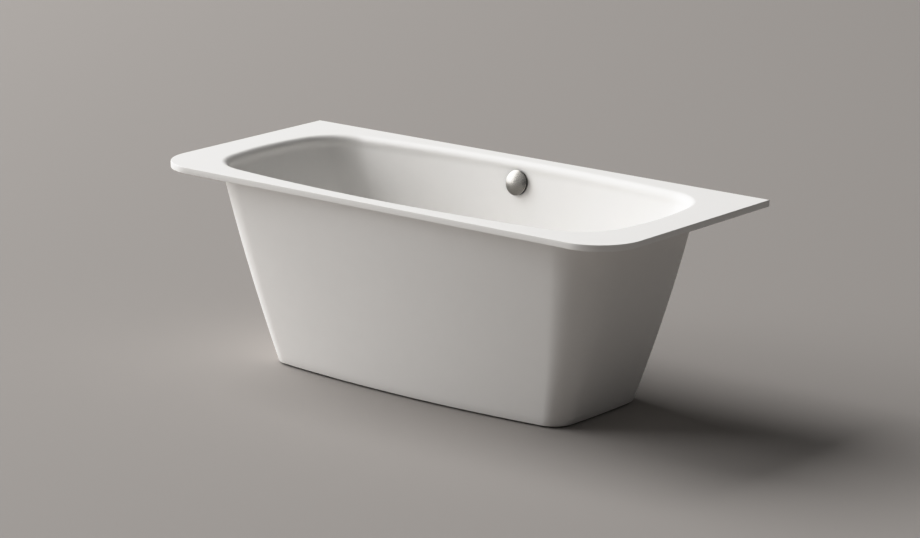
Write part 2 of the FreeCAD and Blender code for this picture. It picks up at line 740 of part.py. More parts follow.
def skirt_stay(name):
    """A strip under the board with its end bent down along the inside of the skirt."""
    edge, way, high_reach, low_reach = stay_frames()[name]
    start = edge - STAY_LAP
    lean = math.atan((high_reach - low_reach) / STAY_TAB)
    thick = STAY_THICKNESS / math.cos(lean)
    under = STAY_THICKNESS * math.tan(lean)
    places = [(start, 0), (high_reach, 0), (low_reach, -STAY_TAB), (low_reach - thick, -STAY_TAB),
              (high_reach - under - thick, -STAY_THICKNESS), (start, -STAY_THICKNESS), (start, 0)]
    across = way.cross(Z_AXIS) * STAY_WIDTH
    points = [way * out + Vector(0, 0, BOARD_UNDER + rise) - across / 2 for out, rise in places]
    strip = Part.Face(Part.makePolygon(points)).extrude(across)
    for corner, radius in ((points[1], STAY_BEND + STAY_THICKNESS), (points[4], STAY_BEND)):
        strip = strip.makeFillet(radius, [edge_at(strip, corner + across / 2)])
    holes = [post(place, BOARD_UNDER - STAY_TAB, BOARD_UNDER + OVERRUN, STAY_SCREW_RADIUS + SEAT_PLAY)
             for place in stay_screw_places()]
    return strip.cut(holes)


def stay_screws():
    seat = BOARD_UNDER - STAY_THICKNESS
    length = STAY_THICKNESS + STAY_SCREW_BITE
    return [screw_up(place, seat, length, STAY_SCREW_RADIUS, STAY_SCREW_HEAD_RADIUS, STAY_SCREW_HEAD)
            for place in stay_screw_places()]


# Overflow, built in its own frame.
def overflow_knob():
    """A domed turning cap, hollow behind, with a boss for the shaft."""
    rim_front = KNOB_GAP + KNOB_RIM
    crown = rim_front + KNOB_CROWN
    inner = KNOB_RADIUS - KNOB_SHELL
    ceiling = rim_front - KNOB_EDGE
    boss_foot = FLANGE_FRONT + KNOB_BOSS_GAP
    bore = SHAFT_RADIUS + SEAT_PLAY
    bore_end = rim_front - KNOB_EDGE
    edge_in = KNOB_RADIUS - KNOB_EDGE
    dome = dome_edge(edge_in, rim_front, KNOB_CROWN)
    outside = [Vector(0, 0, bore_end), Vector(bore, 0, bore_end), Vector(bore, 0, boss_foot),
               Vector(KNOB_BOSS_RADIUS, 0, boss_foot), Vector(KNOB_BOSS_RADIUS, 0, ceiling),
               Vector(inner, 0, ceiling), Vector(inner, 0, KNOB_GAP), Vector(KNOB_RADIUS, 0, KNOB_GAP),
               Vector(KNOB_RADIUS, 0, ceiling)]
    halfway = Vector(edge_in + KNOB_EDGE * math.sqrt(0.5), 0, ceiling + KNOB_EDGE * math.sqrt(0.5))
    rounded = Part.Arc(outside[-1], halfway, Vector(edge_in, 0, rim_front)).toShape()
    middle = polyline([Vector(0, 0, crown), Vector(0, 0, bore_end)])
    cap = turned(polyline(outside) + [rounded, dome] + middle)
    screw_level = (boss_foot + KNOB_GAP) / 2
    return cap.cut(rod(Vector(0, 0, screw_level), Vector(0, -KNOB_BOSS_RADIUS - OVERRUN, screw_level),
                       KNOB_SCREW_RADIUS + SEAT_PLAY))


def knob_screw():
    level = (FLANGE_FRONT + KNOB_BOSS_GAP + KNOB_GAP) / 2
    inner_end = Vector(0, -SHAFT_RADIUS - SEAT_PLAY, level)
    return rod(inner_end, Vector(0, -KNOB_BOSS_RADIUS, level), KNOB_SCREW_RADIUS)


def knob_shaft():
    return axle(SHAFT_RADIUS, GEARBOX_BACK + SHAFT_END_GAP, KNOB_GAP + KNOB_RIM - KNOB_EDGE - SEAT_PLAY)


def involute(base, radius):
    """Polar angle of an involute where it reaches this radius."""
    turn = math.sqrt(max((radius / base) ** 2 - 1, 0))
    return turn - math.atan(turn)


def drive_pinion():
    """An involute pinion with a gap between two teeth facing the rack."""
    base = PITCH_RADIUS * math.cos(math.radians(PRESSURE_ANGLE))
    tip = PITCH_RADIUS + GEAR_MODULE
    root = PITCH_RADIUS - DEDENDUM_SHARE * GEAR_MODULE
    half_tooth = (math.pi * GEAR_MODULE / 2 - BACKLASH) / (2 * PITCH_RADIUS)
    half_base = half_tooth + involute(base, PITCH_RADIUS)
    flank = [(root, half_base)]
    for step in range(FLANK_STEPS + 1):
        radius = base + (tip - base) * step / FLANK_STEPS
        flank.append((radius, half_base - involute(base, radius)))
    points = []
    for tooth in range(PINION_TEETH):
        centre = math.radians(360) * (tooth + 0.5) / PINION_TEETH
        sides = [(radius, centre - angle) for radius, angle in flank]
        sides += [(radius, centre + angle) for radius, angle in reversed(flank)]
        points += [Vector(radius * math.cos(angle), radius * math.sin(angle), GEAR_BACK)
                   for radius, angle in sides]
    wheel = Part.Face(Part.makePolygon(points + points[:1])).extrude(Vector(0, 0, GEAR_WIDTH))
    return wheel.cut(axle(SHAFT_RADIUS + SEAT_PLAY, GEAR_BACK - OVERRUN, GEAR_FRONT + OVERRUN))


def cable_rack():
    """A straight bar with the rack's teeth, one of them in the pinion's gap."""
    pitch = math.pi * GEAR_MODULE
    slope = math.tan(math.radians(PRESSURE_ANGLE))
    half = (pitch / 2 - BACKLASH) / 2
    tip = PITCH_RADIUS - GEAR_MODULE
    half_tip = half - GEAR_MODULE * slope
    half_root = half + (RACK_ROOT - PITCH_RADIUS) * slope
    first = -int((RACK_BELOW - half_root) / pitch)
    last = int((RACK_ABOVE - half_root) / pitch)
    points = [Vector(RACK_SIDE, RACK_ABOVE, GEAR_BACK), Vector(RACK_SIDE, -RACK_BELOW, GEAR_BACK),
              Vector(RACK_ROOT, -RACK_BELOW, GEAR_BACK)]
    for tooth in range(first, last + 1):
        centre = tooth * pitch
        profile = [(RACK_ROOT, -half_root), (tip, -half_tip), (tip, half_tip), (RACK_ROOT, half_root)]
        points += [Vector(depth, centre + step, GEAR_BACK) for depth, step in profile]
    points += [Vector(RACK_ROOT, RACK_ABOVE, GEAR_BACK), points[0]]
    return Part.Face(Part.makePolygon(points)).extrude(Vector(0, 0, GEAR_WIDTH))


def core_wire_upper():
    """The end of the cable's core, from the rack down into the sheath."""
    foot = CABLE_TOP - CORE_REACH
    return cable_rod(-RACK_BELOW, foot, CORE_RADIUS)


def ring(outer, inner, low, high):
    return axle(outer, low, high).cut(axle(inner, low - OVERRUN, high + OVERRUN))


def overflow_flange():
    """The ring inside the bowl: spokes carry the shaft's bearing and the two screw eyes."""
    plate = ring(FLANGE_RADIUS, FLANGE_BORE_RADIUS, FLANGE_BACK, FLANGE_FRONT)
    middle = (FLANGE_BORE_RADIUS + FLANGE_RADIUS) / 2
    half = FLANGE_SPOKE / 2
    level_spoke = box(Vector(-middle, -half, FLANGE_BACK), Vector(middle, half, FLANGE_FRONT))
    tall_spoke = box(Vector(-half, -middle, FLANGE_BACK), Vector(half, middle, FLANGE_FRONT))
    hub = axle(FLANGE_HUB_RADIUS, FLANGE_FRONT - FLANGE_HUB_LENGTH, FLANGE_FRONT)
    eyes = [axle(FLANGE_EYE_RADIUS, FLANGE_BACK, FLANGE_FRONT, side * FLANGE_SCREW_PLACE)
            for side in (-1, 1)]
    spider = joined(plate, level_spoke, tall_spoke, hub, *eyes)
    bores = [axle(FLANGE_SCREW_RADIUS + SEAT_PLAY, FLANGE_BACK - OVERRUN, FLANGE_FRONT + OVERRUN,
                  side * FLANGE_SCREW_PLACE) for side in (-1, 1)]
    bores.append(axle(SHAFT_RADIUS + RUNNING_PLAY, -FLANGE_HUB_LENGTH - OVERRUN, FLANGE_FRONT + OVERRUN))
    return spider.cut(bores)


def flange_screws():
    screws = []
    for side in (-1, 1):
        place = side * FLANGE_SCREW_PLACE
        head = axle(FLANGE_SCREW_HEAD_RADIUS, FLANGE_FRONT, FLANGE_FRONT + FLANGE_SCREW_HEAD, place)
        shank = axle(FLANGE_SCREW_RADIUS, FLANGE_FRONT - FLANGE_SCREW_LENGTH, FLANGE_FRONT, place)
        screws.append(joined(head, shank))
    return screws


def gearbox_screw_places():
    inset = COVER_BOSS_RADIUS - GEARBOX_WALL
    left = -GEARBOX_SIDE - inset
    right = RACK_SIDE + GUIDE_PLAY + inset + GEARBOX_WALL
    top = GEARBOX_ABOVE + inset + GEARBOX_WALL
    bottom = -GEARBOX_BELOW + COVER_BOSS_RADIUS
    return [(left, bottom), (left, top), (right, top)]


def overflow_body():
    """A round cup behind the wall with a spigot below it and the gearbox on its back."""
    cup = CHAMBER_RADIUS + BODY_WALL
    right = RACK_SIDE + GUIDE_PLAY
    shell = [axle(cup, BODY_BACK, GASKET_BACK),
             axle(BODY_FLANGE_RADIUS, GASKET_BACK - BODY_FLANGE_THICKNESS, GASKET_BACK),
             rod(Vector(0, -CHAMBER_RADIUS / 2, PIPE_LINE), Vector(0, SPIGOT_FOOT, PIPE_LINE), PIPE_RADIUS),
             axle(BODY_HUB_RADIUS, BODY_BACK, CHAMBER_BACK + BODY_WALL)]
    case = box(Vector(-GEARBOX_SIDE - GEARBOX_WALL, GEARBOX_FOOT, GEARBOX_BACK),
               Vector(right + GEARBOX_WALL, GEARBOX_ABOVE + GEARBOX_WALL, BODY_BACK))
    gland_foot = GEARBOX_FOOT - GLAND_LENGTH
    gland = cable_rod(-GEARBOX_BELOW, gland_foot, GLAND_RADIUS)
    posts = [axle(COVER_BOSS_RADIUS, GEARBOX_BACK, BODY_BACK, x, y) for x, y in gearbox_screw_places()]
    chamber = axle(CHAMBER_RADIUS, CHAMBER_BACK, GASKET_BACK + OVERRUN)
    spigot_end = Vector(0, SPIGOT_FOOT, PIPE_LINE)
    passage = rod(Vector(0, 0, PIPE_LINE), spigot_end - Y_AXIS * OVERRUN, PIPE_RADIUS - PIPE_WALL)
    gear_space = box(Vector(-GEARBOX_SIDE, -GEARBOX_BELOW, GEARBOX_BACK - OVERRUN),
                     Vector(right, GEARBOX_ABOVE, BODY_BACK))
    shape = joined(*shell, case, gland, *posts).cut([chamber, passage, gear_space])
    bosses = [axle(BODY_BOSS_RADIUS, BODY_BACK, FLANGE_FRONT - FLANGE_HUB_LENGTH, side * FLANGE_SCREW_PLACE)
              for side in (-1, 1)]
    hub = axle(BODY_HUB_RADIUS, BODY_BACK, CHAMBER_BACK + BODY_WALL)
    shape = joined(shape, hub, *bosses)
    cuts = [axle(SHAFT_RADIUS + RUNNING_PLAY, BODY_BACK - OVERRUN, GASKET_BACK),
            cable_rod(-GEARBOX_BELOW + OVERRUN, gland_foot - OVERRUN, CORE_RADIUS + GUIDE_PLAY),
            cable_rod(CABLE_TOP, gland_foot - OVERRUN, CABLE_RADIUS + SEAT_PLAY)]
    screw_foot = FLANGE_FRONT - FLANGE_SCREW_LENGTH - SEAT_PLAY
    cuts += [axle(FLANGE_SCREW_RADIUS + SEAT_PLAY, screw_foot, FLANGE_FRONT, side * FLANGE_SCREW_PLACE)
             for side in (-1, 1)]
    cuts += [axle(COVER_SCREW_RADIUS + SEAT_PLAY, GEARBOX_BACK - OVERRUN,
                  COVER_BACK + COVER_SCREW_LENGTH + SEAT_PLAY, x, y) for x, y in gearbox_screw_places()]
    return shape.cut(cuts)


def gear_cover():
    """The plate that closes the gearbox, with ears at its screws and a seat for the shaft's end."""
    right = RACK_SIDE + GUIDE_PLAY + GEARBOX_WALL
    plate = box(Vector(-GEARBOX_SIDE - GEARBOX_WALL, GEARBOX_FOOT, COVER_BACK),
                Vector(right, GEARBOX_ABOVE + GEARBOX_WALL, GEARBOX_BACK))
    ears = [axle(COVER_BOSS_RADIUS, COVER_BACK, GEARBOX_BACK, x, y) for x, y in gearbox_screw_places()]
    seat = axle(BODY_HUB_RADIUS, GEARBOX_BACK, GEARBOX_BACK + BODY_WALL)
    cuts = [axle(COVER_SCREW_RADIUS + SEAT_PLAY, COVER_BACK - OVERRUN, GEARBOX_BACK + OVERRUN, x, y)
            for x, y in gearbox_screw_places()]
    cuts.append(axle(SHAFT_RADIUS + RUNNING_PLAY, GEARBOX_BACK, GEARBOX_BACK + OVERRUN))
    return joined(plate, *ears, seat).cut(cuts)


def cover_screws():
    screws = []
    for x, y in gearbox_screw_places():
        head = axle(COVER_SCREW_HEAD_RADIUS, COVER_BACK - COVER_SCREW_HEAD, COVER_BACK, x, y)
        shank = axle(COVER_SCREW_RADIUS, COVER_BACK, COVER_BACK + COVER_SCREW_LENGTH, x, y)
        screws.append(joined(head, shank))
    return screws


# Overflow pipe and cable.
INLET_HEIGHT = FLOOR_TOP - INLET_DROP
INLET_END = WASTE_BODY_RADIUS + INLET_LENGTH
LEVER_SHAFT_HEIGHT = FLOOR_UNDER - LOWER_SEAL_THICKNESS - WASTE_BODY_HEIGHT + LEVER_HEIGHT_ABOVE_FLOOR
HALF_SWING = math.radians(LEVER_SWING / 2)
CRANK_LENGTH = RACK_TRAVEL / (2 * math.sin(HALF_SWING))
PIN_REST = Vector(CRANK_PLACE, LEVER_LENGTH + CRANK_LENGTH * math.sin(HALF_SWING),
                  LEVER_SHAFT_HEIGHT - CRANK_LENGTH * math.cos(HALF_SWING))
STOP_PLACE = INLET_END - PIPE_NUT_LENGTH / 2 - STOP_THICKNESS
CABLE_FOOT = Vector(CRANK_PLACE, STOP_PLACE, PIN_REST.z)


# The cable runs down beside the pipe, sweeps across to the crank's side, and bends forward at the foot.
WALL_WAY = wall_spot(0, -1, 0) - wall_spot(0, 0, 0)
CABLE_HEAD = wall_spot(CABLE_SIDE, CABLE_TOP, CABLE_LINE)
CABLE_DROP = (CABLE_HEAD.z - CABLE_FOOT.z) / -WALL_WAY.z
CABLE_FALL = CABLE_DROP * CABLE_FALL_SHARE
CABLE_RUN = CABLE_DROP * CABLE_CROSSING_SHARE
CABLE_ACROSS = CRANK_PLACE - CABLE_SIDE
CABLE_EASE = CABLE_SWEEP_SHARE * math.hypot(CABLE_RUN, CABLE_ACROSS) / 2
CABLE_SWEEP = CABLE_EASE / math.tan(math.atan2(CABLE_ACROSS, CABLE_RUN) / 2)


def pipe_points():
    top = wall_spot(0, SPIGOT_FOOT, PIPE_LINE)
    corner = top + WALL_WAY * ((top.z - INLET_HEIGHT) / -WALL_WAY.z)
    return [top, corner, Vector(0, INLET_END, INLET_HEIGHT)]


def overflow_pipe():
    return bent_tube(pipe_points(), (PIPE_BEND,), PIPE_RADIUS, PIPE_RADIUS - PIPE_WALL)


def sleeve(middle, way, length, inner, outer):
    """A round nut centred on the joint of two tubes, with grip flutes that stop short of a plain collar."""
    along = unit(way)
    start = middle - along * (length / 2)
    end = middle + along * (length / 2)
    collar = end - along * (length * NUT_COLLAR_SHARE)
    wall = outer - inner
    radius = wall * FLUTE_RADIUS_SHARE
    side = unit(along.cross(X_AXIS)) * (outer + radius - wall * FLUTE_DEPTH_SHARE)
    flutes = []
    for flute in range(NUT_FLUTES):
        groove = rod(start - along * OVERRUN + side, collar + side, radius)
        groove.rotate(middle, along, 360 * flute / NUT_FLUTES)
        flutes.append(groove)
    return tube(start, end, outer, inner).cut(flutes)


def pipe_nut(end):
    points = pipe_points()
    middle = points[0] if end == "upper" else points[-1]
    way = points[1] - points[0] if end == "upper" else points[-1] - points[-2]
    inner = PIPE_RADIUS + SEAT_PLAY
    return sleeve(middle, way, PIPE_NUT_LENGTH, inner, inner + PIPE_NUT_WALL)


def cable_points():
    across = X_AXIS * CABLE_ACROSS
    crossing = CABLE_HEAD + WALL_WAY * CABLE_FALL
    crossed = crossing + WALL_WAY * CABLE_RUN + across
    corner = CABLE_HEAD + WALL_WAY * CABLE_DROP + across
    return [CABLE_HEAD, crossing, crossed, corner, CABLE_FOOT]


def control_cable():
    return bent_tube(cable_points(), (CABLE_SWEEP, CABLE_SWEEP, CABLE_BEND), CABLE_RADIUS, CABLE_BORE)


def cable_clips():
    """Two clips that hold the cable beside the pipe, at the ends of its straight run."""
    clips = []
    first_top = SPIGOT_FOOT - PIPE_NUT_LENGTH / 2 - CLIP_GAP
    last_foot = CABLE_TOP - CABLE_FALL + CABLE_EASE + CLIP_GAP
    for foot in (first_top - CLIP_WIDTH, last_foot):
        top = foot + CLIP_WIDTH
        pipe_inner = PIPE_RADIUS + SEAT_PLAY
        cable_inner = CABLE_RADIUS + SEAT_PLAY
        pipe_top = Vector(0, top, PIPE_LINE)
        pipe_foot = Vector(0, foot, PIPE_LINE)
        web = box(Vector(CABLE_SIDE - CLIP_WALL, foot, CABLE_LINE),
                  Vector(CABLE_SIDE + CLIP_WALL, top, PIPE_LINE))
        clip = joined(rod(pipe_top, pipe_foot, pipe_inner + CLIP_WALL),
                      cable_rod(top, foot, cable_inner + CLIP_WALL), web)
        clips.append(clip.cut([rod(pipe_top, pipe_foot, pipe_inner), cable_rod(top, foot, cable_inner)]))
    return clips


# Waste in the floor.
SEAL_UNDER = FLOOR_TOP - WASTE_RECESS_DEPTH
WASTE_FLANGE_UNDER = SEAL_UNDER + WASTE_SEAL_THICKNESS
WASTE_FLANGE_TOP = WASTE_FLANGE_UNDER + WASTE_FLANGE_THICKNESS
BODY_TOP = FLOOR_UNDER - LOWER_SEAL_THICKNESS
BODY_FLOOR = BODY_TOP - WASTE_BODY_HEIGHT
BODY_UNDER = BODY_FLOOR - WASTE_BODY_WALL
SPIGOT_UNDER = BODY_UNDER - TRAP_SPIGOT
PLUG_UNDER = WASTE_FLANGE_TOP + PLUG_SEAT_GAP + PLUG_SEAL_THICKNESS
LEVER_TOP = LEVER_SHAFT_HEIGHT - LEVER_LENGTH * math.sin(HALF_SWING) + LEVER_TIP_RADIUS
PLUG_TRAVEL = 2 * LEVER_LENGTH * math.sin(HALF_SWING)


def waste_flange():
    """The steel ring in the floor, its tube, and the ribs that guide the plug's stem."""
    tube_under = WASTE_FLANGE_UNDER - WASTE_TUBE_LENGTH
    bore = WASTE_TUBE_RADIUS - WASTE_TUBE_WALL
    plate = upright_ring(WASTE_FLANGE_RADIUS, bore, WASTE_FLANGE_UNDER, WASTE_FLANGE_TOP)
    neck = upright_ring(WASTE_TUBE_RADIUS, bore, tube_under, WASTE_FLANGE_UNDER)
    hub_top = tube_under + WASTE_HUB_LENGTH
    ribs = []
    for rib in range(WASTE_RIBS):
        arm = box(Vector(0, -WASTE_RIB / 2, tube_under),
                  Vector(bore + WASTE_TUBE_WALL / 2, WASTE_RIB / 2, hub_top))
        arm.rotate(Vector(0, 0, 0), Z_AXIS, 360 * rib / WASTE_RIBS)
        ribs.append(arm)
    spider = joined(plate, neck, upright(WASTE_HUB_RADIUS, tube_under, hub_top), *ribs)
    return spider.cut(upright(STEM_RADIUS + RUNNING_PLAY, tube_under - OVERRUN, hub_top + OVERRUN))


def waste_seal_upper():
    return upright_ring(WASTE_FLANGE_RADIUS, WASTE_HOLE_RADIUS, SEAL_UNDER, WASTE_FLANGE_UNDER)


def waste_seal_lower():
    return upright_ring(WASTE_BODY_FLANGE_RADIUS, WASTE_HOLE_RADIUS, BODY_TOP, FLOOR_UNDER)


def cable_stop():
    """A gusset on the inlet that ends in the eye for the cable's sheath."""
    eye_end = STOP_PLACE + STOP_EYE_LENGTH / 2
    web_low = PIN_REST.z - STOP_EYE_RADIUS
    places = [(0, INLET_HEIGHT), (PIPE_RADIUS, INLET_HEIGHT), (CRANK_PLACE + STOP_EYE_RADIUS, PIN_REST.z),
              (CRANK_PLACE, web_low), (0, INLET_HEIGHT - PIPE_RADIUS), (0, INLET_HEIGHT)]
    front = STOP_PLACE - STOP_THICKNESS / 2
    web = Part.Face(Part.makePolygon([Vector(x, front, z) for x, z in places]))
    web = web.extrude(Vector(0, STOP_THICKNESS, 0))
    eye = rod(Vector(CRANK_PLACE, eye_end - STOP_EYE_LENGTH, PIN_REST.z),
              Vector(CRANK_PLACE, eye_end, PIN_REST.z), STOP_EYE_RADIUS)
    return web.fuse(eye)


def waste_body():
    """The chamber under the floor with the overflow's inlet, the crank's bearing and the outlet spigot."""
    inner = WASTE_BODY_RADIUS - WASTE_BODY_WALL
    bearing = rod(Vector(BEARING_REACH - BEARING_LENGTH, LEVER_LENGTH, LEVER_SHAFT_HEIGHT),
                  Vector(BEARING_REACH, LEVER_LENGTH, LEVER_SHAFT_HEIGHT), BEARING_RADIUS)
    inlet = rod(Vector(0, inner, INLET_HEIGHT), Vector(0, INLET_END, INLET_HEIGHT), PIPE_RADIUS)
    shell = joined(upright(WASTE_BODY_RADIUS, BODY_UNDER, BODY_TOP),
                   upright(WASTE_BODY_FLANGE_RADIUS, BODY_TOP - WASTE_BODY_FLANGE, BODY_TOP),
                   upright(TRAP_RADIUS, SPIGOT_UNDER, BODY_UNDER), inlet, cable_stop())
    chamber = upright(inner, BODY_FLOOR, BODY_TOP - WASTE_BODY_FLANGE)
    shape = joined(shell.cut(chamber), bearing)
    flange_under = BODY_TOP - WASTE_BODY_FLANGE
    cuts = [upright(WASTE_TUBE_RADIUS + SEAT_PLAY, flange_under - OVERRUN, BODY_TOP + OVERRUN),
            upright(TRAP_RADIUS - TRAP_WALL, SPIGOT_UNDER - OVERRUN, BODY_FLOOR + OVERRUN),
            rod(Vector(0, 0, INLET_HEIGHT), Vector(0, INLET_END + OVERRUN, INLET_HEIGHT),
                PIPE_RADIUS - PIPE_WALL),
            rod(Vector(0, LEVER_LENGTH, LEVER_SHAFT_HEIGHT),
                Vector(BEARING_REACH + OVERRUN, LEVER_LENGTH, LEVER_SHAFT_HEIGHT),
                LEVER_SHAFT_RADIUS + RUNNING_PLAY),
            rod(CABLE_FOOT, CABLE_FOOT + Vector(0, INLET_END, 0), CABLE_RADIUS + SEAT_PLAY),
            rod(CABLE_FOOT - Vector(0, INLET_END, 0), CABLE_FOOT, CORE_RADIUS + GUIDE_PLAY)]
    return shape.cut(cuts)


def plug_cap():
    """The domed lid of the waste."""
    rim_top = PLUG_UNDER + PLUG_RIM
    crown = rim_top + PLUG_CROWN
    lower = polyline([Vector(0, 0, crown), Vector(0, 0, PLUG_UNDER), Vector(PLUG_RADIUS, 0, PLUG_UNDER),
                      Vector(PLUG_RADIUS, 0, rim_top)])
    return turned(lower + [dome_edge(PLUG_RADIUS, rim_top, PLUG_CROWN)])


def plug_seal():
    return upright_ring(PLUG_SEAL_RADIUS, PLUG_SEAL_RADIUS - PLUG_SEAL_WIDTH,
                        PLUG_UNDER - PLUG_SEAL_THICKNESS, PLUG_UNDER)


def plug_stem():
    """A plain rod with a tapered nose that stands on the lever's tip."""
    foot = LEVER_TOP + LEVER_PLAY
    nose = Part.makeCone(STEM_NOSE_RADIUS, STEM_RADIUS, STEM_NOSE, Vector(0, 0, foot))
    return joined(nose, upright(STEM_RADIUS, foot + STEM_NOSE, PLUG_UNDER))


# Bell crank, shown with the plug closed.
def link(thickness_low, thickness_high, first, first_radius, last, last_radius):
    """A flat link in a plane across X: two round ends joined by a bar as wide as the smaller end."""
    width = min(first_radius, last_radius)
    way = unit(last - first)
    side = X_AXIS.cross(way) * width
    corners = [first + side, last + side, last - side, first - side, first + side]
    bar = Part.Face(Part.makePolygon([Vector(thickness_low, p.y, p.z) for p in corners]))
    bar = bar.extrude(Vector(thickness_high - thickness_low, 0, 0))
    ends = [rod(Vector(thickness_low, p.y, p.z), Vector(thickness_high, p.y, p.z), radius)
            for p, radius in ((first, first_radius), (last, last_radius))]
    return joined(bar, *ends)


LEVER_PIVOT = Vector(0, LEVER_LENGTH, LEVER_SHAFT_HEIGHT)
LEVER_TIP = LEVER_PIVOT - Vector(0, math.cos(HALF_SWING), math.sin(HALF_SWING)) * LEVER_LENGTH
CRANK_LOW = CRANK_PLACE - CRANK_THICKNESS / 2
CRANK_HIGH = CRANK_PLACE + CRANK_THICKNESS / 2
CHEEK_LOW = CRANK_HIGH + SLOT_PLAY
CHEEK_HIGH = CHEEK_LOW + CABLE_END_CHEEK


def lever_bore(radius):
    return rod(LEVER_PIVOT - X_AXIS * CRANK_PLACE, LEVER_PIVOT + X_AXIS * (2 * CRANK_PLACE), radius)


def lift_lever():
    half = LEVER_WIDTH / 2
    bar = link(-half, half, LEVER_PIVOT, LEVER_HUB_RADIUS, LEVER_TIP, LEVER_TIP_RADIUS)
    return bar.cut(lever_bore(LEVER_SHAFT_RADIUS + SEAT_PLAY))


def lever_shaft():
    return rod(LEVER_PIVOT - X_AXIS * LEVER_WIDTH, LEVER_PIVOT + X_AXIS * CRANK_HIGH, LEVER_SHAFT_RADIUS)


def crank_arm():
    arm = link(CRANK_LOW, CRANK_HIGH, LEVER_PIVOT, CRANK_HUB_RADIUS, PIN_REST, CRANK_EYE_RADIUS)
    half_hole = X_AXIS * CRANK_THICKNESS
    hole = rod(PIN_REST - half_hole, PIN_REST + half_hole, CRANK_PIN_RADIUS + SEAT_PLAY)
    return arm.cut([lever_bore(LEVER_SHAFT_RADIUS + SEAT_PLAY), hole])


def crank_pin():
    head_low = CHEEK_HIGH + SLOT_PLAY
    start = Vector(CRANK_LOW, PIN_REST.y, PIN_REST.z)
    head = Vector(head_low, PIN_REST.y, PIN_REST.z)
    return joined(rod(start, head, CRANK_PIN_RADIUS),
                  rod(head, head + X_AXIS * CRANK_PIN_HEAD, CRANK_PIN_HEAD_RADIUS))


def cable_end():
    """The end piece of the cable's core: a cheek with an upright slot for the pin, on a small block."""
    half = CABLE_END_HEIGHT / 2
    block_start = PIN_REST.y + CRANK_EYE_RADIUS + CABLE_END_GAP
    block = box(Vector(CRANK_LOW, block_start, PIN_REST.z - half),
                Vector(CHEEK_HIGH, block_start + CABLE_END_BLOCK, PIN_REST.z + half))
    cheek = box(Vector(CHEEK_LOW, PIN_REST.y - CRANK_EYE_RADIUS, PIN_REST.z - half),
                Vector(CHEEK_HIGH, block_start + CABLE_END_BLOCK, PIN_REST.z + half))
    reach = CRANK_PIN_RADIUS + SLOT_PLAY
    sag = CRANK_LENGTH * (1 - math.cos(HALF_SWING))
    slot = box(Vector(CHEEK_LOW - OVERRUN, PIN_REST.y - reach, PIN_REST.z - reach - sag),
               Vector(CHEEK_HIGH + OVERRUN, PIN_REST.y + reach, PIN_REST.z + reach))
    return joined(block, cheek).cut(slot)


def core_wire_lower():
    start = PIN_REST.y + CRANK_EYE_RADIUS + CABLE_END_GAP + CABLE_END_BLOCK
    return rod(Vector(CRANK_PLACE, start, PIN_REST.z),
               Vector(CRANK_PLACE, STOP_PLACE + CORE_REACH, PIN_REST.z), CORE_RADIUS)


# Trap and outlet.
TRAP_LOW = SPIGOT_UNDER - TRAP_STRAIGHT - TRAP_BEND
TRAP_SIDE = -2 * TRAP_BEND - TRAP_STRAIGHT
OUTLET_HEIGHT = TRAP_LOW + 2 * TRAP_BEND + TRAP_STRAIGHT
TRAP_END = TRAP_BEND + TRAP_TAIL


def trap_bend():
    points = [Vector(0, 0, SPIGOT_UNDER), Vector(0, 0, TRAP_LOW), Vector(TRAP_SIDE, 0, TRAP_LOW),
              Vector(TRAP_SIDE, 0, OUTLET_HEIGHT), Vector(TRAP_SIDE, TRAP_END, OUTLET_HEIGHT)]
    return bent_tube(points, (TRAP_BEND, TRAP_BEND, TRAP_BEND), TRAP_RADIUS, TRAP_RADIUS - TRAP_WALL)


def trap_sleeve(middle, way):
    inner = TRAP_RADIUS + SEAT_PLAY
    return sleeve(middle, way, TRAP_NUT_LENGTH, inner, inner + TRAP_NUT_WALL)


def trap_nut():
    return trap_sleeve(Vector(0, 0, SPIGOT_UNDER + TRAP_STRAIGHT), Z_AXIS)


def outlet_nut():
    return trap_sleeve(Vector(TRAP_SIDE, TRAP_END, OUTLET_HEIGHT), Y_AXIS)


def outlet_pipe():
    """A pipe out through the back, turned down inside the nut, with a bead that stops the next pipe."""
    start = Vector(TRAP_SIDE, TRAP_END, OUTLET_HEIGHT)
    shoulder = start + Y_AXIS * (TRAP_NUT_LENGTH / 2)
    end = Vector(TRAP_SIDE, OUTLET_END, OUTLET_HEIGHT)
    stop = end - Y_AXIS * OUTLET_FREE
    bead = rod(stop - Y_AXIS * OUTLET_BEAD_WIDTH, stop, TRAP_RADIUS + OUTLET_BEAD)
    solid = joined(rod(start, shoulder, TRAP_RADIUS - GUIDE_PLAY), rod(shoulder, end, TRAP_RADIUS), bead)
    return solid.cut(rod(start, end, TRAP_RADIUS - TRAP_WALL))


os.makedirs("parts", exist_ok=True)

save("basin", basin())
save("skirt", skirt())
save("bonding_bead", bonding_bead())

save("base_board", base_board())
for side_name, side in SIDES:
    save("rail_" + side_name, rail(side))
save("rail_screws", *rail_screws())
save("rail_nuts", *nuts(RAIL_UNDER - NUT_HEIGHT, RAIL_UNDER))
save("lock_nuts", *nuts(RAIL_UNDER - NUT_HEIGHT - LOCK_NUT_HEIGHT, RAIL_UNDER - NUT_HEIGHT))
for foot_name, foot_place in foot_places().items():
    save("foot_spindle_" + foot_name, foot_spindle(foot_place))
    save("foot_pad_" + foot_name, foot_pad(foot_place))
for stay_name in stay_frames():
    save("skirt_stay_" + stay_name, skirt_stay(stay_name))
save("stay_screws", *stay_screws())

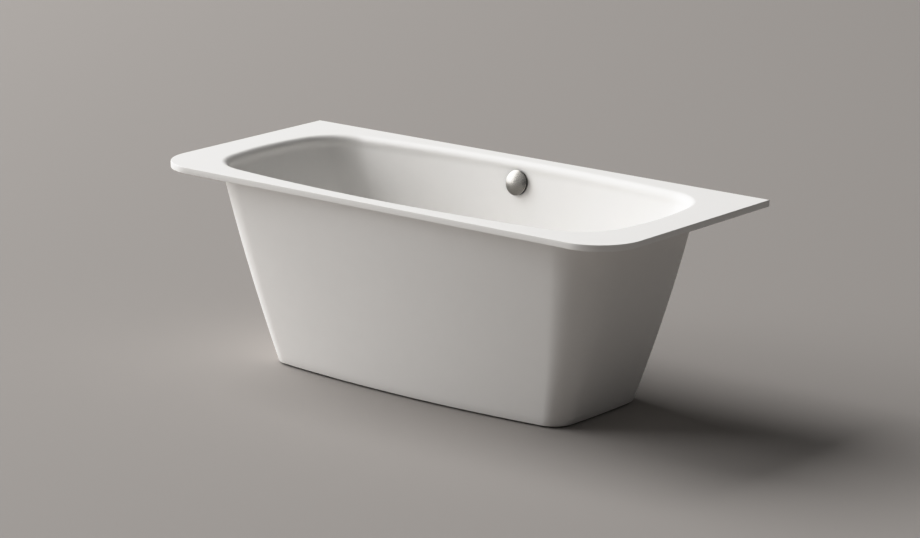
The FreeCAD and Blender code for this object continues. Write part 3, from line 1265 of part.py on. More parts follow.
save("overflow_knob", on_wall(overflow_knob()))
save("knob_screw", on_wall(knob_screw()))
save("knob_shaft", on_wall(knob_shaft()))
save("drive_pinion", on_wall(drive_pinion()))
save("cable_rack", on_wall(cable_rack()))
save("core_wire_upper", on_wall(core_wire_upper()))
save("overflow_flange", on_wall(overflow_flange()))
save("overflow_inner_seal", on_wall(ring(FLANGE_RADIUS, OVERFLOW_HOLE_RADIUS, FRONT_SEAT, FLANGE_BACK)))
save("overflow_gasket", on_wall(ring(BODY_FLANGE_RADIUS, CHAMBER_RADIUS, GASKET_BACK, BACK_SEAT)))
save("overflow_body", on_wall(overflow_body()))
save("gear_cover", on_wall(gear_cover()))
save("cover_screws", *[on_wall(screw) for screw in cover_screws()])
save("flange_screws", *[on_wall(screw) for screw in flange_screws()])

save("overflow_pipe", overflow_pipe())
save("pipe_nut_upper", pipe_nut("upper"))
save("pipe_nut_lower", pipe_nut("lower"))
save("control_cable", control_cable())
save("cable_clips", *[on_wall(clip) for clip in cable_clips()])

save("waste_flange", waste_flange())
save("waste_seal_upper", waste_seal_upper())
save("waste_seal_lower", waste_seal_lower())
save("waste_body", waste_body())
save("plug_cap", plug_cap())
save("plug_seal", plug_seal())
save("plug_stem", plug_stem())
save("lift_lever", lift_lever())
save("lever_shaft", lever_shaft())
save("crank_arm", crank_arm())
save("crank_pin", crank_pin())
save("cable_end", cable_end())
save("core_wire_lower", core_wire_lower())
save("trap_nut", trap_nut())
save("trap_bend", trap_bend())
save("outlet_nut", outlet_nut())
save("outlet_pipe", outlet_pipe())
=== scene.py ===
import bmesh
import bpy
import math
from mathutils import Matrix, Vector


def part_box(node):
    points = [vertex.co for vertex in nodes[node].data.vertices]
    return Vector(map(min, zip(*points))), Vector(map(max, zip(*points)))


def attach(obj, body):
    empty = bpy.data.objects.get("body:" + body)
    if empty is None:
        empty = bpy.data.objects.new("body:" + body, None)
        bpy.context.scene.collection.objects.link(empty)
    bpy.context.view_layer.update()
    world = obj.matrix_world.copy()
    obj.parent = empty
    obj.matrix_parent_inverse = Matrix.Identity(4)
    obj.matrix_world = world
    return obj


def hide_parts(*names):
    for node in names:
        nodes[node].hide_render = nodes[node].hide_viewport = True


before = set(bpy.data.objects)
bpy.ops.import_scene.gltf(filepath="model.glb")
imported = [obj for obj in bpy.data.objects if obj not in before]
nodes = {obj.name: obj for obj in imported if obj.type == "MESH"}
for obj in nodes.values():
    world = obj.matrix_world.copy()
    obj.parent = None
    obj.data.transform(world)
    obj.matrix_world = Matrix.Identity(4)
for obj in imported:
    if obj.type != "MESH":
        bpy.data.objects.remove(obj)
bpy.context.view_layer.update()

# Basin.
# The bowl and its flat rim are one casting of mineral-filled acrylic resin, sanded to an even satin white.
# The waste hangs in its floor, the overflow in its back wall, and the skirt is bonded under its rim.
MM = 0.001
HALF_LENGTH = 850 * MM
HALF_WIDTH = 375 * MM
RIM_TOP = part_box("basin")[1][2]
RIM_THICKNESS = 19 * MM
RIM_CORNER = 140 * MM
RIM_EDGE = 1.5 * MM
# Extra rings this far from an edge keep the shading flat beside it.
SUPPORT = 0.6 * MM
ROLL = 22 * MM
ROLL_EASE = 20 * MM
BOWL_WALL = 9 * MM
BOWL_DEPTH = 425 * MM
COVE = 70 * MM
# Outlines are a half length, a half width, and the radii of the long sides, the ends and the corners.
OPENING = (745 * MM, 334 * MM, 4750 * MM, 862 * MM, 174 * MM)
BOWL_FLOOR = (530 * MM, 222 * MM, 4300 * MM, 700 * MM, 120 * MM)
WASTE_HOLE = 26 * MM
WASTE_RECESS = 36.5 * MM
WASTE_RECESS_DEPTH = 3 * MM
OVERFLOW_DROP = 64 * MM
OVERFLOW_HOLE = 27 * MM
OVERFLOW_SEAT = 38.5 * MM
OVERFLOW_SEAT_DEPTH = 1 * MM
CUTTER_REACH = 3 * BOWL_WALL
END_STEPS = 14
CORNER_STEPS = 20
SIDE_STEPS = 34
EASE_STEPS = 6
SLOPE_STEPS = 12
ROLL_STEPS = 8
EDGE_STEPS = 4
ROUND_STEPS = 96
# Edges that turn by more degrees than this stay sharp.
SMOOTH_ANGLE = 35
FLOOR_SHARES = (0.12, 0.35, 0.68)
UNDERSIDE_SHARES = (0.4, 0.8)


def grown(outline, by):
    """An outline moved outwards all round."""
    return tuple(value + by for value in outline)


def between(first, second, share):
    """An outline that lies a share of the way from the first to the second."""
    return tuple(a + share * (b - a) for a, b in zip(first, second))


def quarter_turns(steps):
    """Sine and cosine of even steps through a quarter turn, both ends included."""
    angles = [math.pi / 2 * step / steps for step in range(steps + 1)]
    return [(math.sin(angle), math.cos(angle)) for angle in angles]


def quadrant(outline):
    """Points from the middle of the right end, round the corner, to the middle of the back side."""
    half_length, half_width, side_radius, end_radius, corner = outline
    side_centre = Vector((0, half_width - side_radius))
    end_centre = Vector((half_length - end_radius, 0))
    span = end_centre - side_centre
    side_reach = side_radius - corner
    end_reach = end_radius - corner
    along = (span.length_squared + side_reach ** 2 - end_reach ** 2) / (2 * span.length)
    across = math.sqrt(side_reach ** 2 - along ** 2)
    line = span.normalized()
    knee = side_centre + line * along + Vector((line.y, -line.x)) * across
    end_angle = math.atan2(knee.y - end_centre.y, knee.x - end_centre.x)
    side_angle = math.atan2(knee.y - side_centre.y, knee.x - side_centre.x)
    arcs = ((end_centre, end_radius, 0, end_angle, END_STEPS),
            (knee, corner, end_angle, side_angle, CORNER_STEPS),
            (side_centre, side_radius, side_angle, math.pi / 2, SIDE_STEPS))
    points = []
    for centre, radius, start, stop, steps in arcs:
        for step in range(steps):
            angle = start + (stop - start) * step / steps
            points.append(centre + radius * Vector((math.cos(angle), math.sin(angle))))
    points.append(Vector((0, half_width)))
    return points


def plate_quadrant(half_length, half_width, corner):
    """The same number of points round a straight-sided plate with one round corner."""
    points = []
    for step in range(END_STEPS):
        points.append(Vector((half_length, (half_width - corner) * step / END_STEPS)))
    for sine, cosine in quarter_turns(CORNER_STEPS)[:-1]:
        points.append(Vector((half_length - corner + corner * cosine, half_width - corner + corner * sine)))
    for step in range(SIDE_STEPS + 1):
        points.append(Vector(((half_length - corner) * (1 - step / SIDE_STEPS), half_width)))
    return points


def round_quadrant(radius):
    """The same number of points round a quarter of a circle."""
    turns = quarter_turns(END_STEPS + CORNER_STEPS + SIDE_STEPS)
    return [Vector((radius * cosine, radius * sine)) for sine, cosine in turns]


def ring(back, height, front=None):
    """A closed ring at one height from a back quarter and, where it differs, a front quarter."""
    front = front or back
    points = back[:-1]
    points = points + [Vector((-p.x, p.y)) for p in reversed(back[1:])]
    points = points + [Vector((-p.x, -p.y)) for p in front[:-1]]
    points = points + [Vector((p.x, -p.y)) for p in reversed(front[1:])]
    return [Vector((p.x, p.y, height)) for p in points]


def mesh_piece(name, vertices, faces):
    """A mesh object in the scene, with its faces turned outwards."""
    mesh = bpy.data.meshes.new(name)
    mesh.from_pydata(vertices, [], faces)
    shaped = bmesh.new()
    shaped.from_mesh(mesh)
    bmesh.ops.recalc_face_normals(shaped, faces=shaped.faces)
    shaped.to_mesh(mesh)
    shaped.free()
    piece = bpy.data.objects.new(name, mesh)
    bpy.context.scene.collection.objects.link(piece)
    return piece


def skinned(name, rings, closed=False):
    """A piece through rings of equal count: closed joins last to first, or else both ends are filled."""
    count = len(rings[0])
    vertices = [point for points in rings for point in points]
    faces = []
    pairs = len(rings) if closed else len(rings) - 1
    for row in range(pairs):
        low = row * count
        high = (row + 1) % len(rings) * count
        for step in range(count):
            after = (step + 1) % count
            faces.append((low + step, low + after, high + after, high + step))
    if not closed:
        faces.append(tuple(reversed(range(count))))
        faces.append(tuple(range(len(vertices) - count, len(vertices))))
    return mesh_piece(name, vertices, faces)


def smooth(piece):
    """Smooth shading that keeps the sharper edges."""
    piece.data.shade_smooth()
    piece.data.set_sharp_from_angle(angle=math.radians(SMOOTH_ANGLE))


WALL_TOP = grown(OPENING, -ROLL)
WALL_RUN = BOWL_DEPTH - ROLL - ROLL_EASE / 2


def shell_outline(depth, wall):
    """The bowl's outline at a depth under the rim's top, with the wall added for its outside."""
    fall = max(depth - ROLL, 0)
    eased = fall ** 2 / (2 * ROLL_EASE) if fall < ROLL_EASE else fall - ROLL_EASE / 2
    cove = COVE + wall
    left = BOWL_DEPTH + wall - depth
    inset = cove - math.sqrt(max(cove ** 2 - (cove - left) ** 2, 0)) if left < cove else 0
    return grown(between(WALL_TOP, BOWL_FLOOR, eased / WALL_RUN), wall - inset)


def bowl_depths(wall, top):
    """Depths of the rings down the wall: the eased top, the straight slope and the cove."""
    cove_start = BOWL_DEPTH - COVE
    ease_end = ROLL + ROLL_EASE
    depths = [top + (ease_end - top) * step / EASE_STEPS for step in range(EASE_STEPS)]
    depths += [ease_end + (cove_start - ease_end) * step / SLOPE_STEPS for step in range(SLOPE_STEPS)]
    depths += [cove_start + (COVE + wall) * sine for sine, cosine in quarter_turns(SLOPE_STEPS)]
    return depths


def rim_ring(inset, height):
    """The rim's outline: broad corners in front, and almost square ones against the wall."""
    back = plate_quadrant(HALF_LENGTH - inset, HALF_WIDTH - inset, RIM_EDGE + SUPPORT - inset / 2)
    front = plate_quadrant(HALF_LENGTH - inset, HALF_WIDTH - inset, RIM_CORNER - inset)
    return ring(back, height, front)


def inside_rings():
    """Rings from the waste hole over the floor and up the wall."""
    floor = RIM_TOP - BOWL_DEPTH
    seat = floor - WASTE_RECESS_DEPTH
    recess = round_quadrant(WASTE_RECESS)
    rings = [ring(round_quadrant(WASTE_HOLE), seat),
             ring(round_quadrant(WASTE_RECESS - SUPPORT), seat),
             ring(recess, seat),
             ring(recess, floor - SUPPORT),
             ring(round_quadrant(WASTE_RECESS + SUPPORT), floor)]
    floor_edge = quadrant(shell_outline(BOWL_DEPTH, 0))
    for share in FLOOR_SHARES:
        rings.append(ring([a.lerp(b, share) for a, b in zip(recess, floor_edge)], floor))
    for depth in reversed(bowl_depths(0, ROLL)):
        rings.append(ring(quadrant(shell_outline(depth, 0)), RIM_TOP - depth))
    return rings


def rim_rings():
    """Rings over the roll, across the flat rim and round its edge to the underside."""
    rings = []
    for sine, cosine in reversed(quarter_turns(ROLL_STEPS)[:-1]):
        rings.append(ring(quadrant(grown(OPENING, -ROLL * sine)), RIM_TOP - ROLL * (1 - cosine)))
    rings.append(ring(quadrant(grown(OPENING, SUPPORT)), RIM_TOP))
    rings.append(rim_ring(RIM_EDGE + SUPPORT, RIM_TOP))
    for sine, cosine in quarter_turns(EDGE_STEPS):
        rings.append(rim_ring(RIM_EDGE * (1 - sine), RIM_TOP - RIM_EDGE * (1 - cosine)))
    under = RIM_TOP - RIM_THICKNESS
    for sine, cosine in quarter_turns(EDGE_STEPS):
        rings.append(rim_ring(RIM_EDGE * (1 - cosine), under + RIM_EDGE * (1 - sine)))
    rings.append(rim_ring(RIM_EDGE + SUPPORT, under))
    return rings


def outside_rings():
    """Rings from the rim's underside down the outside of the bowl to the waste hole again."""
    depths = bowl_depths(BOWL_WALL, RIM_THICKNESS)
    top = grown(shell_outline(RIM_THICKNESS, BOWL_WALL), SUPPORT)
    rings = [ring(quadrant(top), RIM_TOP - RIM_THICKNESS)]
    for depth in depths:
        rings.append(ring(quadrant(shell_outline(depth, BOWL_WALL)), RIM_TOP - depth))
    underside = quadrant(shell_outline(depths[-1], BOWL_WALL))
    hole = round_quadrant(WASTE_HOLE)
    level = RIM_TOP - BOWL_DEPTH - BOWL_WALL
    for share in UNDERSIDE_SHARES:
        rings.append(ring([a.lerp(b, share) for a, b in zip(underside, hole)], level))
    rings.append(ring(hole, level))
    return rings


WALL_LEAN = math.atan((WALL_TOP[1] - BOWL_FLOOR[1]) / WALL_RUN)
OVERFLOW_POINT = Vector((0, shell_outline(OVERFLOW_DROP, 0)[1], RIM_TOP - OVERFLOW_DROP))
OVERFLOW_PLACE = Matrix.Translation(OVERFLOW_POINT) @ Matrix.Rotation(math.pi / 2 - WALL_LEAN, 4, "X")


def turned(name, profile, place=Matrix.Identity(4), steps=ROUND_STEPS, closed=False):
    """A turned piece: each profile step is a radius, or a function of the angle, and a height."""
    rings = []
    for radius, height in profile:
        points = []
        for step in range(steps):
            angle = 2 * math.pi * step / steps
            reach = radius(angle) if callable(radius) else radius
            points.append(place @ Vector((reach * math.cos(angle), reach * math.sin(angle), height)))
        rings.append(points)
    return skinned(name, rings, closed)


def cut_away(piece, cutter):
    """Takes the cutter's shape out of the piece and removes the cutter."""
    carve = piece.modifiers.new("cut", "BOOLEAN")
    carve.object = cutter
    carve.solver = "EXACT"
    bpy.context.view_layer.update()
    carved = bpy.data.meshes.new_from_object(piece.evaluated_get(bpy.context.evaluated_depsgraph_get()))
    piece.modifiers.clear()
    piece.data = carved
    bpy.data.objects.remove(cutter)


def linear(hex_colour):
    """An sRGB hex colour as linear red, green, blue and alpha."""
    channels = [int(hex_colour[start:start + 2], 16) / 255 for start in (1, 3, 5)]
    return [c / 12.92 if c <= 0.04045 else ((c + 0.055) / 1.055) ** 2.4 for c in channels] + [1.0]


def add_node(material, kind, inputs, **settings):
    """Adds one shader node: settings are its properties, inputs are values or other nodes' outputs."""
    made = material.node_tree.nodes.new(kind)
    for name, value in settings.items():
        setattr(made, name, value)
    for name, value in inputs.items():
        if isinstance(value, bpy.types.NodeSocket):
            material.node_tree.links.new(value, made.inputs[name])
        else:
            made.inputs[name].default_value = value
    return made


def new_material(name, inputs):
    """A material with the shader values that are the same all over, and its coordinates in metres."""
    material = bpy.data.materials.new(name)
    material.use_nodes = True
    for socket, value in inputs.items():
        material.node_tree.nodes["Principled BSDF"].inputs[socket].default_value = value
    return material, add_node(material, "ShaderNodeTexCoord", {}).outputs["Object"]


# The colour mix has sockets of one name for several kinds of value, so its own are told by number.
MIX_LOW = 6
MIX_HIGH = 7
MIX_RESULT = 2
BUMP_SHARE = 0.25
EDGE_SAMPLES = 4


def surface(material, pattern, colours, roughness, depth, edge=0):
    """Lets colour, roughness and height follow one pattern. Edge is the radius that sharp edges show."""
    shader = material.node_tree.nodes["Principled BSDF"]
    colour = colours
    if not isinstance(colours, bpy.types.NodeSocket):
        low, high = colours
        mix = add_node(material, "ShaderNodeMix",
                       {"Factor": pattern, MIX_LOW: linear(low), MIX_HIGH: linear(high)}, data_type="RGBA")
        colour = mix.outputs[MIX_RESULT]
    gloss = add_node(material, "ShaderNodeMapRange",
                     {"Value": pattern, "To Min": roughness[0], "To Max": roughness[1]})
    bump = add_node(material, "ShaderNodeBump",
                    {"Height": pattern, "Strength": BUMP_SHARE, "Distance": depth})
    links = material.node_tree.links
    if edge:
        bevel = add_node(material, "ShaderNodeBevel", {"Radius": edge}, samples=EDGE_SAMPLES)
        links.new(bevel.outputs["Normal"], bump.inputs["Normal"])
    links.new(colour, shader.inputs["Base Color"])
    links.new(gloss.outputs["Result"], shader.inputs["Roughness"])
    links.new(bump.outputs["Normal"], shader.inputs["Normal"])


def dress(piece, material):
    """Gives the whole piece one material."""
    piece.data.materials.clear()
    piece.data.materials.append(material)


def stand_for(piece, node, body):
    """The piece moves with the body and is shown in place of the node."""
    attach(piece, body)
    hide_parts(node)


basin = skinned("basin_casting", inside_rings() + rim_rings() + outside_rings(), closed=True)
overflow_hole = ((OVERFLOW_HOLE, -CUTTER_REACH), (OVERFLOW_HOLE, CUTTER_REACH))
overflow_seat = ((OVERFLOW_SEAT, -OVERFLOW_SEAT_DEPTH), (OVERFLOW_SEAT, CUTTER_REACH))
cut_away(basin, turned("hole_cutter", overflow_hole, OVERFLOW_PLACE))
cut_away(basin, turned("seat_cutter", overflow_seat, OVERFLOW_PLACE))
smooth(basin)
CLOUD = 45 * MM
CLOUD_DEPTH = 0.05 * MM
# Sanded mineral casting: a soft wide sheen with a faint cloudiness from the filler.
casting, spot = new_material("sanded_mineral_casting", {"IOR": 1.49})
clouds = add_node(casting, "ShaderNodeTexNoise",
                  {"Vector": spot, "Scale": 1 / CLOUD, "Detail": 3.0, "Roughness": 0.6})
surface(casting, clouds.outputs["Fac"], ("#EDEBE8", "#F0EEEB"), (0.6, 0.66), CLOUD_DEPTH)
dress(basin, casting)
stand_for(basin, "basin", "tub")

# Skirt.
# A tapered shell of the same casting, bonded under the rim so that it hides the frame and the feet.
# It is left open behind, where the wall hides the opening and the pipes pass.
SKIRT_WALL = 8 * MM
SHELL_GAP = 2.5 * MM
SKIRT_BULGE = 9.5 * MM
SKIRT_FOOT = (550 * MM, 226 * MM, 4300 * MM, 2700 * MM, 68 * MM)
SKIRT_TOP = grown(WALL_TOP, BOWL_WALL + SHELL_GAP + SKIRT_WALL)
SKIRT_EDGE = 1 * MM
SKIRT_EDGE_SHARE = 0.3
SERVICE_HALF = 280 * MM
SKIRT_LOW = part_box("skirt")[0][2]
SKIRT_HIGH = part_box("skirt")[1][2]
SKIRT_LEVELS = 24


def skirt_outline(height, inset):
    """The skirt's outline at a height: its ends bulge a little between top and foot."""
    share = (SKIRT_HIGH - height) / (SKIRT_HIGH - SKIRT_LOW)
    half_length, *rest = between(SKIRT_TOP, SKIRT_FOOT, share)
    return grown((half_length + SKIRT_BULGE * 4 * share * (1 - share), *rest), -inset)


def skirt_ring(height, inset):
    """An open ring: from the service opening's right edge, round the front, to its left edge."""
    outline = skirt_outline(height, inset)
    quarter = quadrant(outline)
    kept = quarter[:END_STEPS + CORNER_STEPS + 1]
    start = kept[-1]
    side_centre = outline[1] - outline[2]
    steps = SIDE_STEPS // 2
    for step in range(1, steps + 1):
        x = start.x + (SERVICE_HALF - start.x) * step / steps
        kept.append(Vector((x, side_centre + math.sqrt(outline[2] ** 2 - x ** 2))))
    right = [Vector((p.x, p.y, height)) for p in reversed(kept)]
    half = right + [Vector((p.x, -p.y, height)) for p in quarter[1:]]
    return half + [Vector((-p.x, p.y, p.z)) for p in reversed(half[:-1])]


def skirt_sections():
    """Rings down the outside, round the foot and up the inside."""
    drop = SKIRT_LOW + SKIRT_EDGE - SKIRT_HIGH
    heights = [SKIRT_HIGH + drop * level / SKIRT_LEVELS for level in range(SKIRT_LEVELS + 1)]
    eased = SKIRT_EDGE * SKIRT_EDGE_SHARE
    rings = [skirt_ring(height, 0) for height in heights]
    rings.append(skirt_ring(SKIRT_LOW + eased, eased))
    rings.append(skirt_ring(SKIRT_LOW, SKIRT_EDGE))
    rings.append(skirt_ring(SKIRT_LOW, SKIRT_WALL - SKIRT_EDGE))
    rings.append(skirt_ring(SKIRT_LOW + eased, SKIRT_WALL - eased))
    return rings + [skirt_ring(height, SKIRT_WALL) for height in reversed(heights)]


def band(name, rings):
    """A closed shell from open rings that go round its section: the two ends are capped."""
    rows = len(rings)
    count = len(rings[0])
    faces = []
    for row in range(rows):
        low = row * count
        high = (row + 1) % rows * count
        faces += [(low + step, low + step + 1, high + step + 1, high + step) for step in range(count - 1)]
    for end in (0, count - 1):
        for row in range(rows // 2 - 1):
            corners = (row, row + 1, rows - 2 - row, rows - 1 - row)
            faces.append(tuple(corner * count + end for corner in corners))
    return mesh_piece(name, [point for points in rings for point in points], faces)


skirt = band("skirt_casting", skirt_sections())
smooth(skirt)
dress(skirt, casting)
stand_for(skirt, "skirt", "tub")

# Bonding bead.
# A bead of adhesive sealant, pressed flat between the rim's underside and the top of the skirt.
# It cures to a matt, slightly rippled off-white.
RIPPLE = 8 * MM
RIPPLE_DEPTH = 0.3 * MM
# Tooled sealant: slow ripples from the nozzle and no sharp highlight.
sealant, spot = new_material("tooled_polymer_sealant", {"IOR": 1.45})
ripples = add_node(sealant, "ShaderNodeTexNoise", {"Vector": spot, "Scale": 1 / RIPPLE, "Detail": 2.0})
surface(sealant, ripples.outputs["Fac"], ("#CFCCC6", "#DAD7D1"), (0.55, 0.7), RIPPLE_DEPTH)
dress(nodes["bonding_bead"], sealant)

# Base board.
# A sheet of birch plywood, bonded under the bowl's floor, that spreads the load to the rails.
# Its sawn edges show the plies; its faces are bare and sanded.
PLY = 1.5 * MM
GRAIN_LENGTH = 160 * MM
GRAIN_WIDTH = 5 * MM
GRAIN_DEPTH = 0.2 * MM
BOARD_EDGE = 0.4 * MM
# At scale one, the band texture runs through twenty waves in two pi metres.
BAND_REPEAT = 2 * math.pi / 20
# Sanded birch plywood: long pale figure on the faces and dark and light plies on the edges.
plywood, spot = new_material("sanded_birch_plywood", {"IOR": 1.5})
drawn_out = add_node(plywood, "ShaderNodeMapping",
                     {"Vector": spot, "Scale": (1 / GRAIN_LENGTH, 1 / GRAIN_WIDTH, 1 / GRAIN_WIDTH)})
figure = add_node(plywood, "ShaderNodeTexNoise",
                  {"Vector": drawn_out.outputs["Vector"], "Scale": 1.0, "Detail": 6.0, "Distortion": 0.4})
plies = add_node(plywood, "ShaderNodeTexWave", {"Vector": spot, "Scale": BAND_REPEAT / (2 * PLY)},
                 bands_direction="Z")
face_colour = add_node(plywood, "ShaderNodeMix",
                       {"Factor": figure.outputs["Fac"],
                        MIX_LOW: linear("#B18A5B"), MIX_HIGH: linear("#DDC196")},
                       data_type="RGBA")
edge_colour = add_node(plywood, "ShaderNodeMix",
                       {"Factor": plies.outputs["Fac"],
                        MIX_LOW: linear("#7A5733"), MIX_HIGH: linear("#CFAE80")},
                       data_type="RGBA")
facing = add_node(plywood, "ShaderNodeSeparateXYZ",
                  {"Vector": add_node(plywood, "ShaderNodeNewGeometry", {}).outputs["Normal"]})
flat = add_node(plywood, "ShaderNodeMath", {0: facing.outputs["Z"]}, operation="ABSOLUTE")
board_colour = add_node(plywood, "ShaderNodeMix",
                        {"Factor": flat.outputs["Value"],
                         MIX_LOW: edge_colour.outputs[MIX_RESULT],
                         MIX_HIGH: face_colour.outputs[MIX_RESULT]},
                        data_type="RGBA")
surface(plywood, figure.outputs["Fac"], board_colour.outputs[MIX_RESULT], (0.6, 0.75),
        GRAIN_DEPTH, BOARD_EDGE)
dress(nodes["base_board"], plywood)

# Rails.
# Two folded channels across the board, each screwed up into it and carrying two feet.
# They are cut from steel sheet that was galvanised before folding.
SPANGLE = 9 * MM
SPANGLE_DEPTH = 0.02 * MM
FOLD_EDGE = 0.5 * MM
# Galvanised sheet: broad zinc crystals, each a little lighter or darker and duller than the next.
galvanised, spot = new_material("galvanised_steel_sheet", {"Metallic": 1.0})
spangle = add_node(galvanised, "ShaderNodeTexVoronoi", {"Vector": spot, "Scale": 1 / SPANGLE})
tone = add_node(galvanised, "ShaderNodeSeparateColor", {"Color": spangle.outputs["Color"]})
surface(galvanised, tone.outputs["Red"], ("#A3A7AA", "#C0C3C5"), (0.32, 0.5), SPANGLE_DEPTH, FOLD_EDGE)
for side in ("left", "right"):
    dress(nodes["rail_" + side], galvanised)

# Rail screws.
# Four pan-head wood screws with a six-lobed recess, driven up through the rails into the board.
# They are steel with a bright zinc plating.
RAIL_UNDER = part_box("rail_left")[0][2]
RAIL_X = 390 * MM
RAIL_SCREW_Y = 80 * MM
# A screw is given by its shank's radius and length, and its head's radius and height.
RAIL_SCREW = (2.5 * MM, 36 * MM, 5 * MM, 3.5 * MM)
HEAD_EDGE_SHARE = 0.35
HEAD_STEPS = 5
LOBES = 6
LOBE_SHARE = 0.13
MOUTH_SHARE = 1.15
RECESS_SHARE = 0.5
RECESS_DEPTH_SHARE = 0.55
TIP_SHARE = 0.15
SCREW_STEPS = 36
HAZE = 4 * MM
HAZE_DEPTH = 0.02 * MM


def screw_profile(radius, length, head_radius, head):
    """From the tip below the seat, over the domed head, to the floor of its six-lobed recess."""
    recess = head_radius * RECESS_SHARE
    edge = head * HEAD_EDGE_SHARE

    def lobes(angle):
        return recess * (1 + LOBE_SHARE * math.cos(LOBES * angle))

    profile = [(radius * TIP_SHARE, -length), (radius, -length + 2 * radius), (radius, 0), (head_radius, 0)]
    for step in range(HEAD_STEPS + 1):
        reach = head_radius + (recess * MOUTH_SHARE - head_radius) * step / HEAD_STEPS
        rise = math.sqrt(1 - (reach / head_radius) ** 2)
        profile.append((reach, edge + (head - edge) * rise))
    floor = head * (1 - RECESS_DEPTH_SHARE)
    return profile + [(lobes, profile[-1][1]), (lobes, floor), (radius * TIP_SHARE, floor)]


def gathered(name, pieces):
    """Several like pieces as one."""
    shaped = bmesh.new()
    for piece in pieces:
        shaped.from_mesh(piece.data)
        bpy.data.objects.remove(piece)
    mesh = bpy.data.meshes.new(name)
    shaped.to_mesh(mesh)
    shaped.free()
    group = bpy.data.objects.new(name, mesh)
    bpy.context.scene.collection.objects.link(group)
    smooth(group)
    return group


def screw_set(name, sizes, spots, seat):
    """Screws driven upwards at these spots until their heads meet the seat, as one piece."""
    heads_down = Matrix.Rotation(math.pi, 4, "X")
    places = [Matrix.Translation((x, y, seat)) @ heads_down for x, y in spots]
    return gathered(name, [turned("screw", screw_profile(*sizes), place, SCREW_STEPS) for place in places])


rail_screw_spots = [(x, y) for x in (-RAIL_X, RAIL_X) for y in (-RAIL_SCREW_Y, RAIL_SCREW_Y)]
rail_screws = screw_set("rail_screw_set", RAIL_SCREW, rail_screw_spots, RAIL_UNDER)
# Bright zinc plate: a cool, fairly sharp shine with a fine cloudiness from the passivation.
zinc, spot = new_material("bright_zinc_plate", {"Metallic": 1.0})
haze = add_node(zinc, "ShaderNodeTexNoise", {"Vector": spot, "Scale": 1 / HAZE, "Detail": 4.0})
surface(zinc, haze.outputs["Fac"], ("#B4B8BD", "#CDD0D3"), (0.24, 0.4), HAZE_DEPTH)
dress(rail_screws, zinc)
stand_for(rail_screws, "rail_screws", "tub")

# Foot nuts.
# A welded nut under each end of a rail takes the spindle, and a thinner nut below it locks the height.
# Both are hexagon nuts, chamfered on both faces and plated.
FOOT_Y = 158 * MM
NUT_FLATS = 19 * MM
NUT_HEIGHT = 12 * MM
LOCK_NUT_HEIGHT = 9 * MM
SPINDLE = 6 * MM
SPINDLE_PLAY = 0.05 * MM
CHAMFER_SLOPE = math.tan(math.radians(30))
CHAMFER_STEPS = 4
HEXAGON_STEPS = 72
FEET = {"front_left": (-RAIL_X, -FOOT_Y), "front_right": (RAIL_X, -FOOT_Y),
        "back_left": (-RAIL_X, FOOT_Y), "back_right": (RAIL_X, FOOT_Y)}


def hexagon_side(flats, reach):
    """The radius of a hexagon at an angle, held back to a reach where the chamfer has turned it round."""
    def radius(angle):
        off_flat = (angle + math.pi / 6) % (math.pi / 3) - math.pi / 6
        return min(flats / 2 / math.cos(off_flat), reach)
    return radius


def hexagon_profile(flats, low, high):
    """The sides of a chamfered hexagon from its lower face to its upper one."""
    corner = flats / math.sqrt(3)
    chamfer = (corner - flats / 2) * CHAMFER_SLOPE
    reaches = [flats / 2 + (corner - flats / 2) * step / CHAMFER_STEPS for step in range(CHAMFER_STEPS + 1)]
    rise = [chamfer * step / CHAMFER_STEPS for step in range(CHAMFER_STEPS + 1)]
    lower = [(hexagon_side(flats, reach), low + up) for reach, up in zip(reaches, rise)]
    upper = [(hexagon_side(flats, reach), high - up) for reach, up in zip(reaches, rise)]
    return lower + upper[::-1]


def nut_set(name, low, high):
    """One nut round each foot's spindle, between two heights, as one piece."""
    bore = SPINDLE + SPINDLE_PLAY
    profile = [(bore, low), *hexagon_profile(NUT_FLATS, low, high), (bore, high)]
    places = [Matrix.Translation((x, y, 0)) for x, y in FEET.values()]
    return gathered(name, [turned("nut", profile, place, HEXAGON_STEPS, closed=True) for place in places])


nut_foot = RAIL_UNDER - NUT_HEIGHT
rail_nuts = nut_set("weld_nut_set", nut_foot, RAIL_UNDER)
lock_nuts = nut_set("lock_nut_set", nut_foot - LOCK_NUT_HEIGHT, nut_foot)
for nuts, node in ((rail_nuts, "rail_nuts"), (lock_nuts, "lock_nuts")):
    dress(nuts, zinc)
    stand_for(nuts, node, "tub")

# Foot spindles.
# Threaded rods, 12 mm across, with a hexagon collar for the spanner; turning one sets its foot's height.
# They are rolled steel with the same zinc plating.
PITCH = 1.75 * MM
THREAD_DEPTH = 1.05 * MM
COLLAR_FLATS = 17 * MM
COLLAR_LOW = 22 * MM
COLLAR_HIGH = 30 * MM
SPINDLE_EDGE = 0.75 * MM
THREAD_STEPS = 36


def thread(name, low, high, place):
    """A screw thread as one strip that climbs the rod, with its crest half a turn's rise above its root."""
    count = int((high - low) / PITCH) * THREAD_STEPS
    root = []
    crest = []
    for step in range(count):
        angle = 2 * math.pi * step / THREAD_STEPS
        way = Vector((math.cos(angle), math.sin(angle), 0))
        height = low + PITCH * step / THREAD_STEPS
        root.append(place + way * (SPINDLE - THREAD_DEPTH) + Vector((0, 0, height)))
        crest.append(place + way * SPINDLE + Vector((0, 0, height + PITCH / 2)))
    faces = [(step, step + 1, count + step + 1, count + step) for step in range(count - 1)]
    faces += [(count + step, count + step + 1, step + 1 + THREAD_STEPS, step + THREAD_STEPS)
              for step in range(count - 1 - THREAD_STEPS)]
    return mesh_piece(name, root + crest, faces)


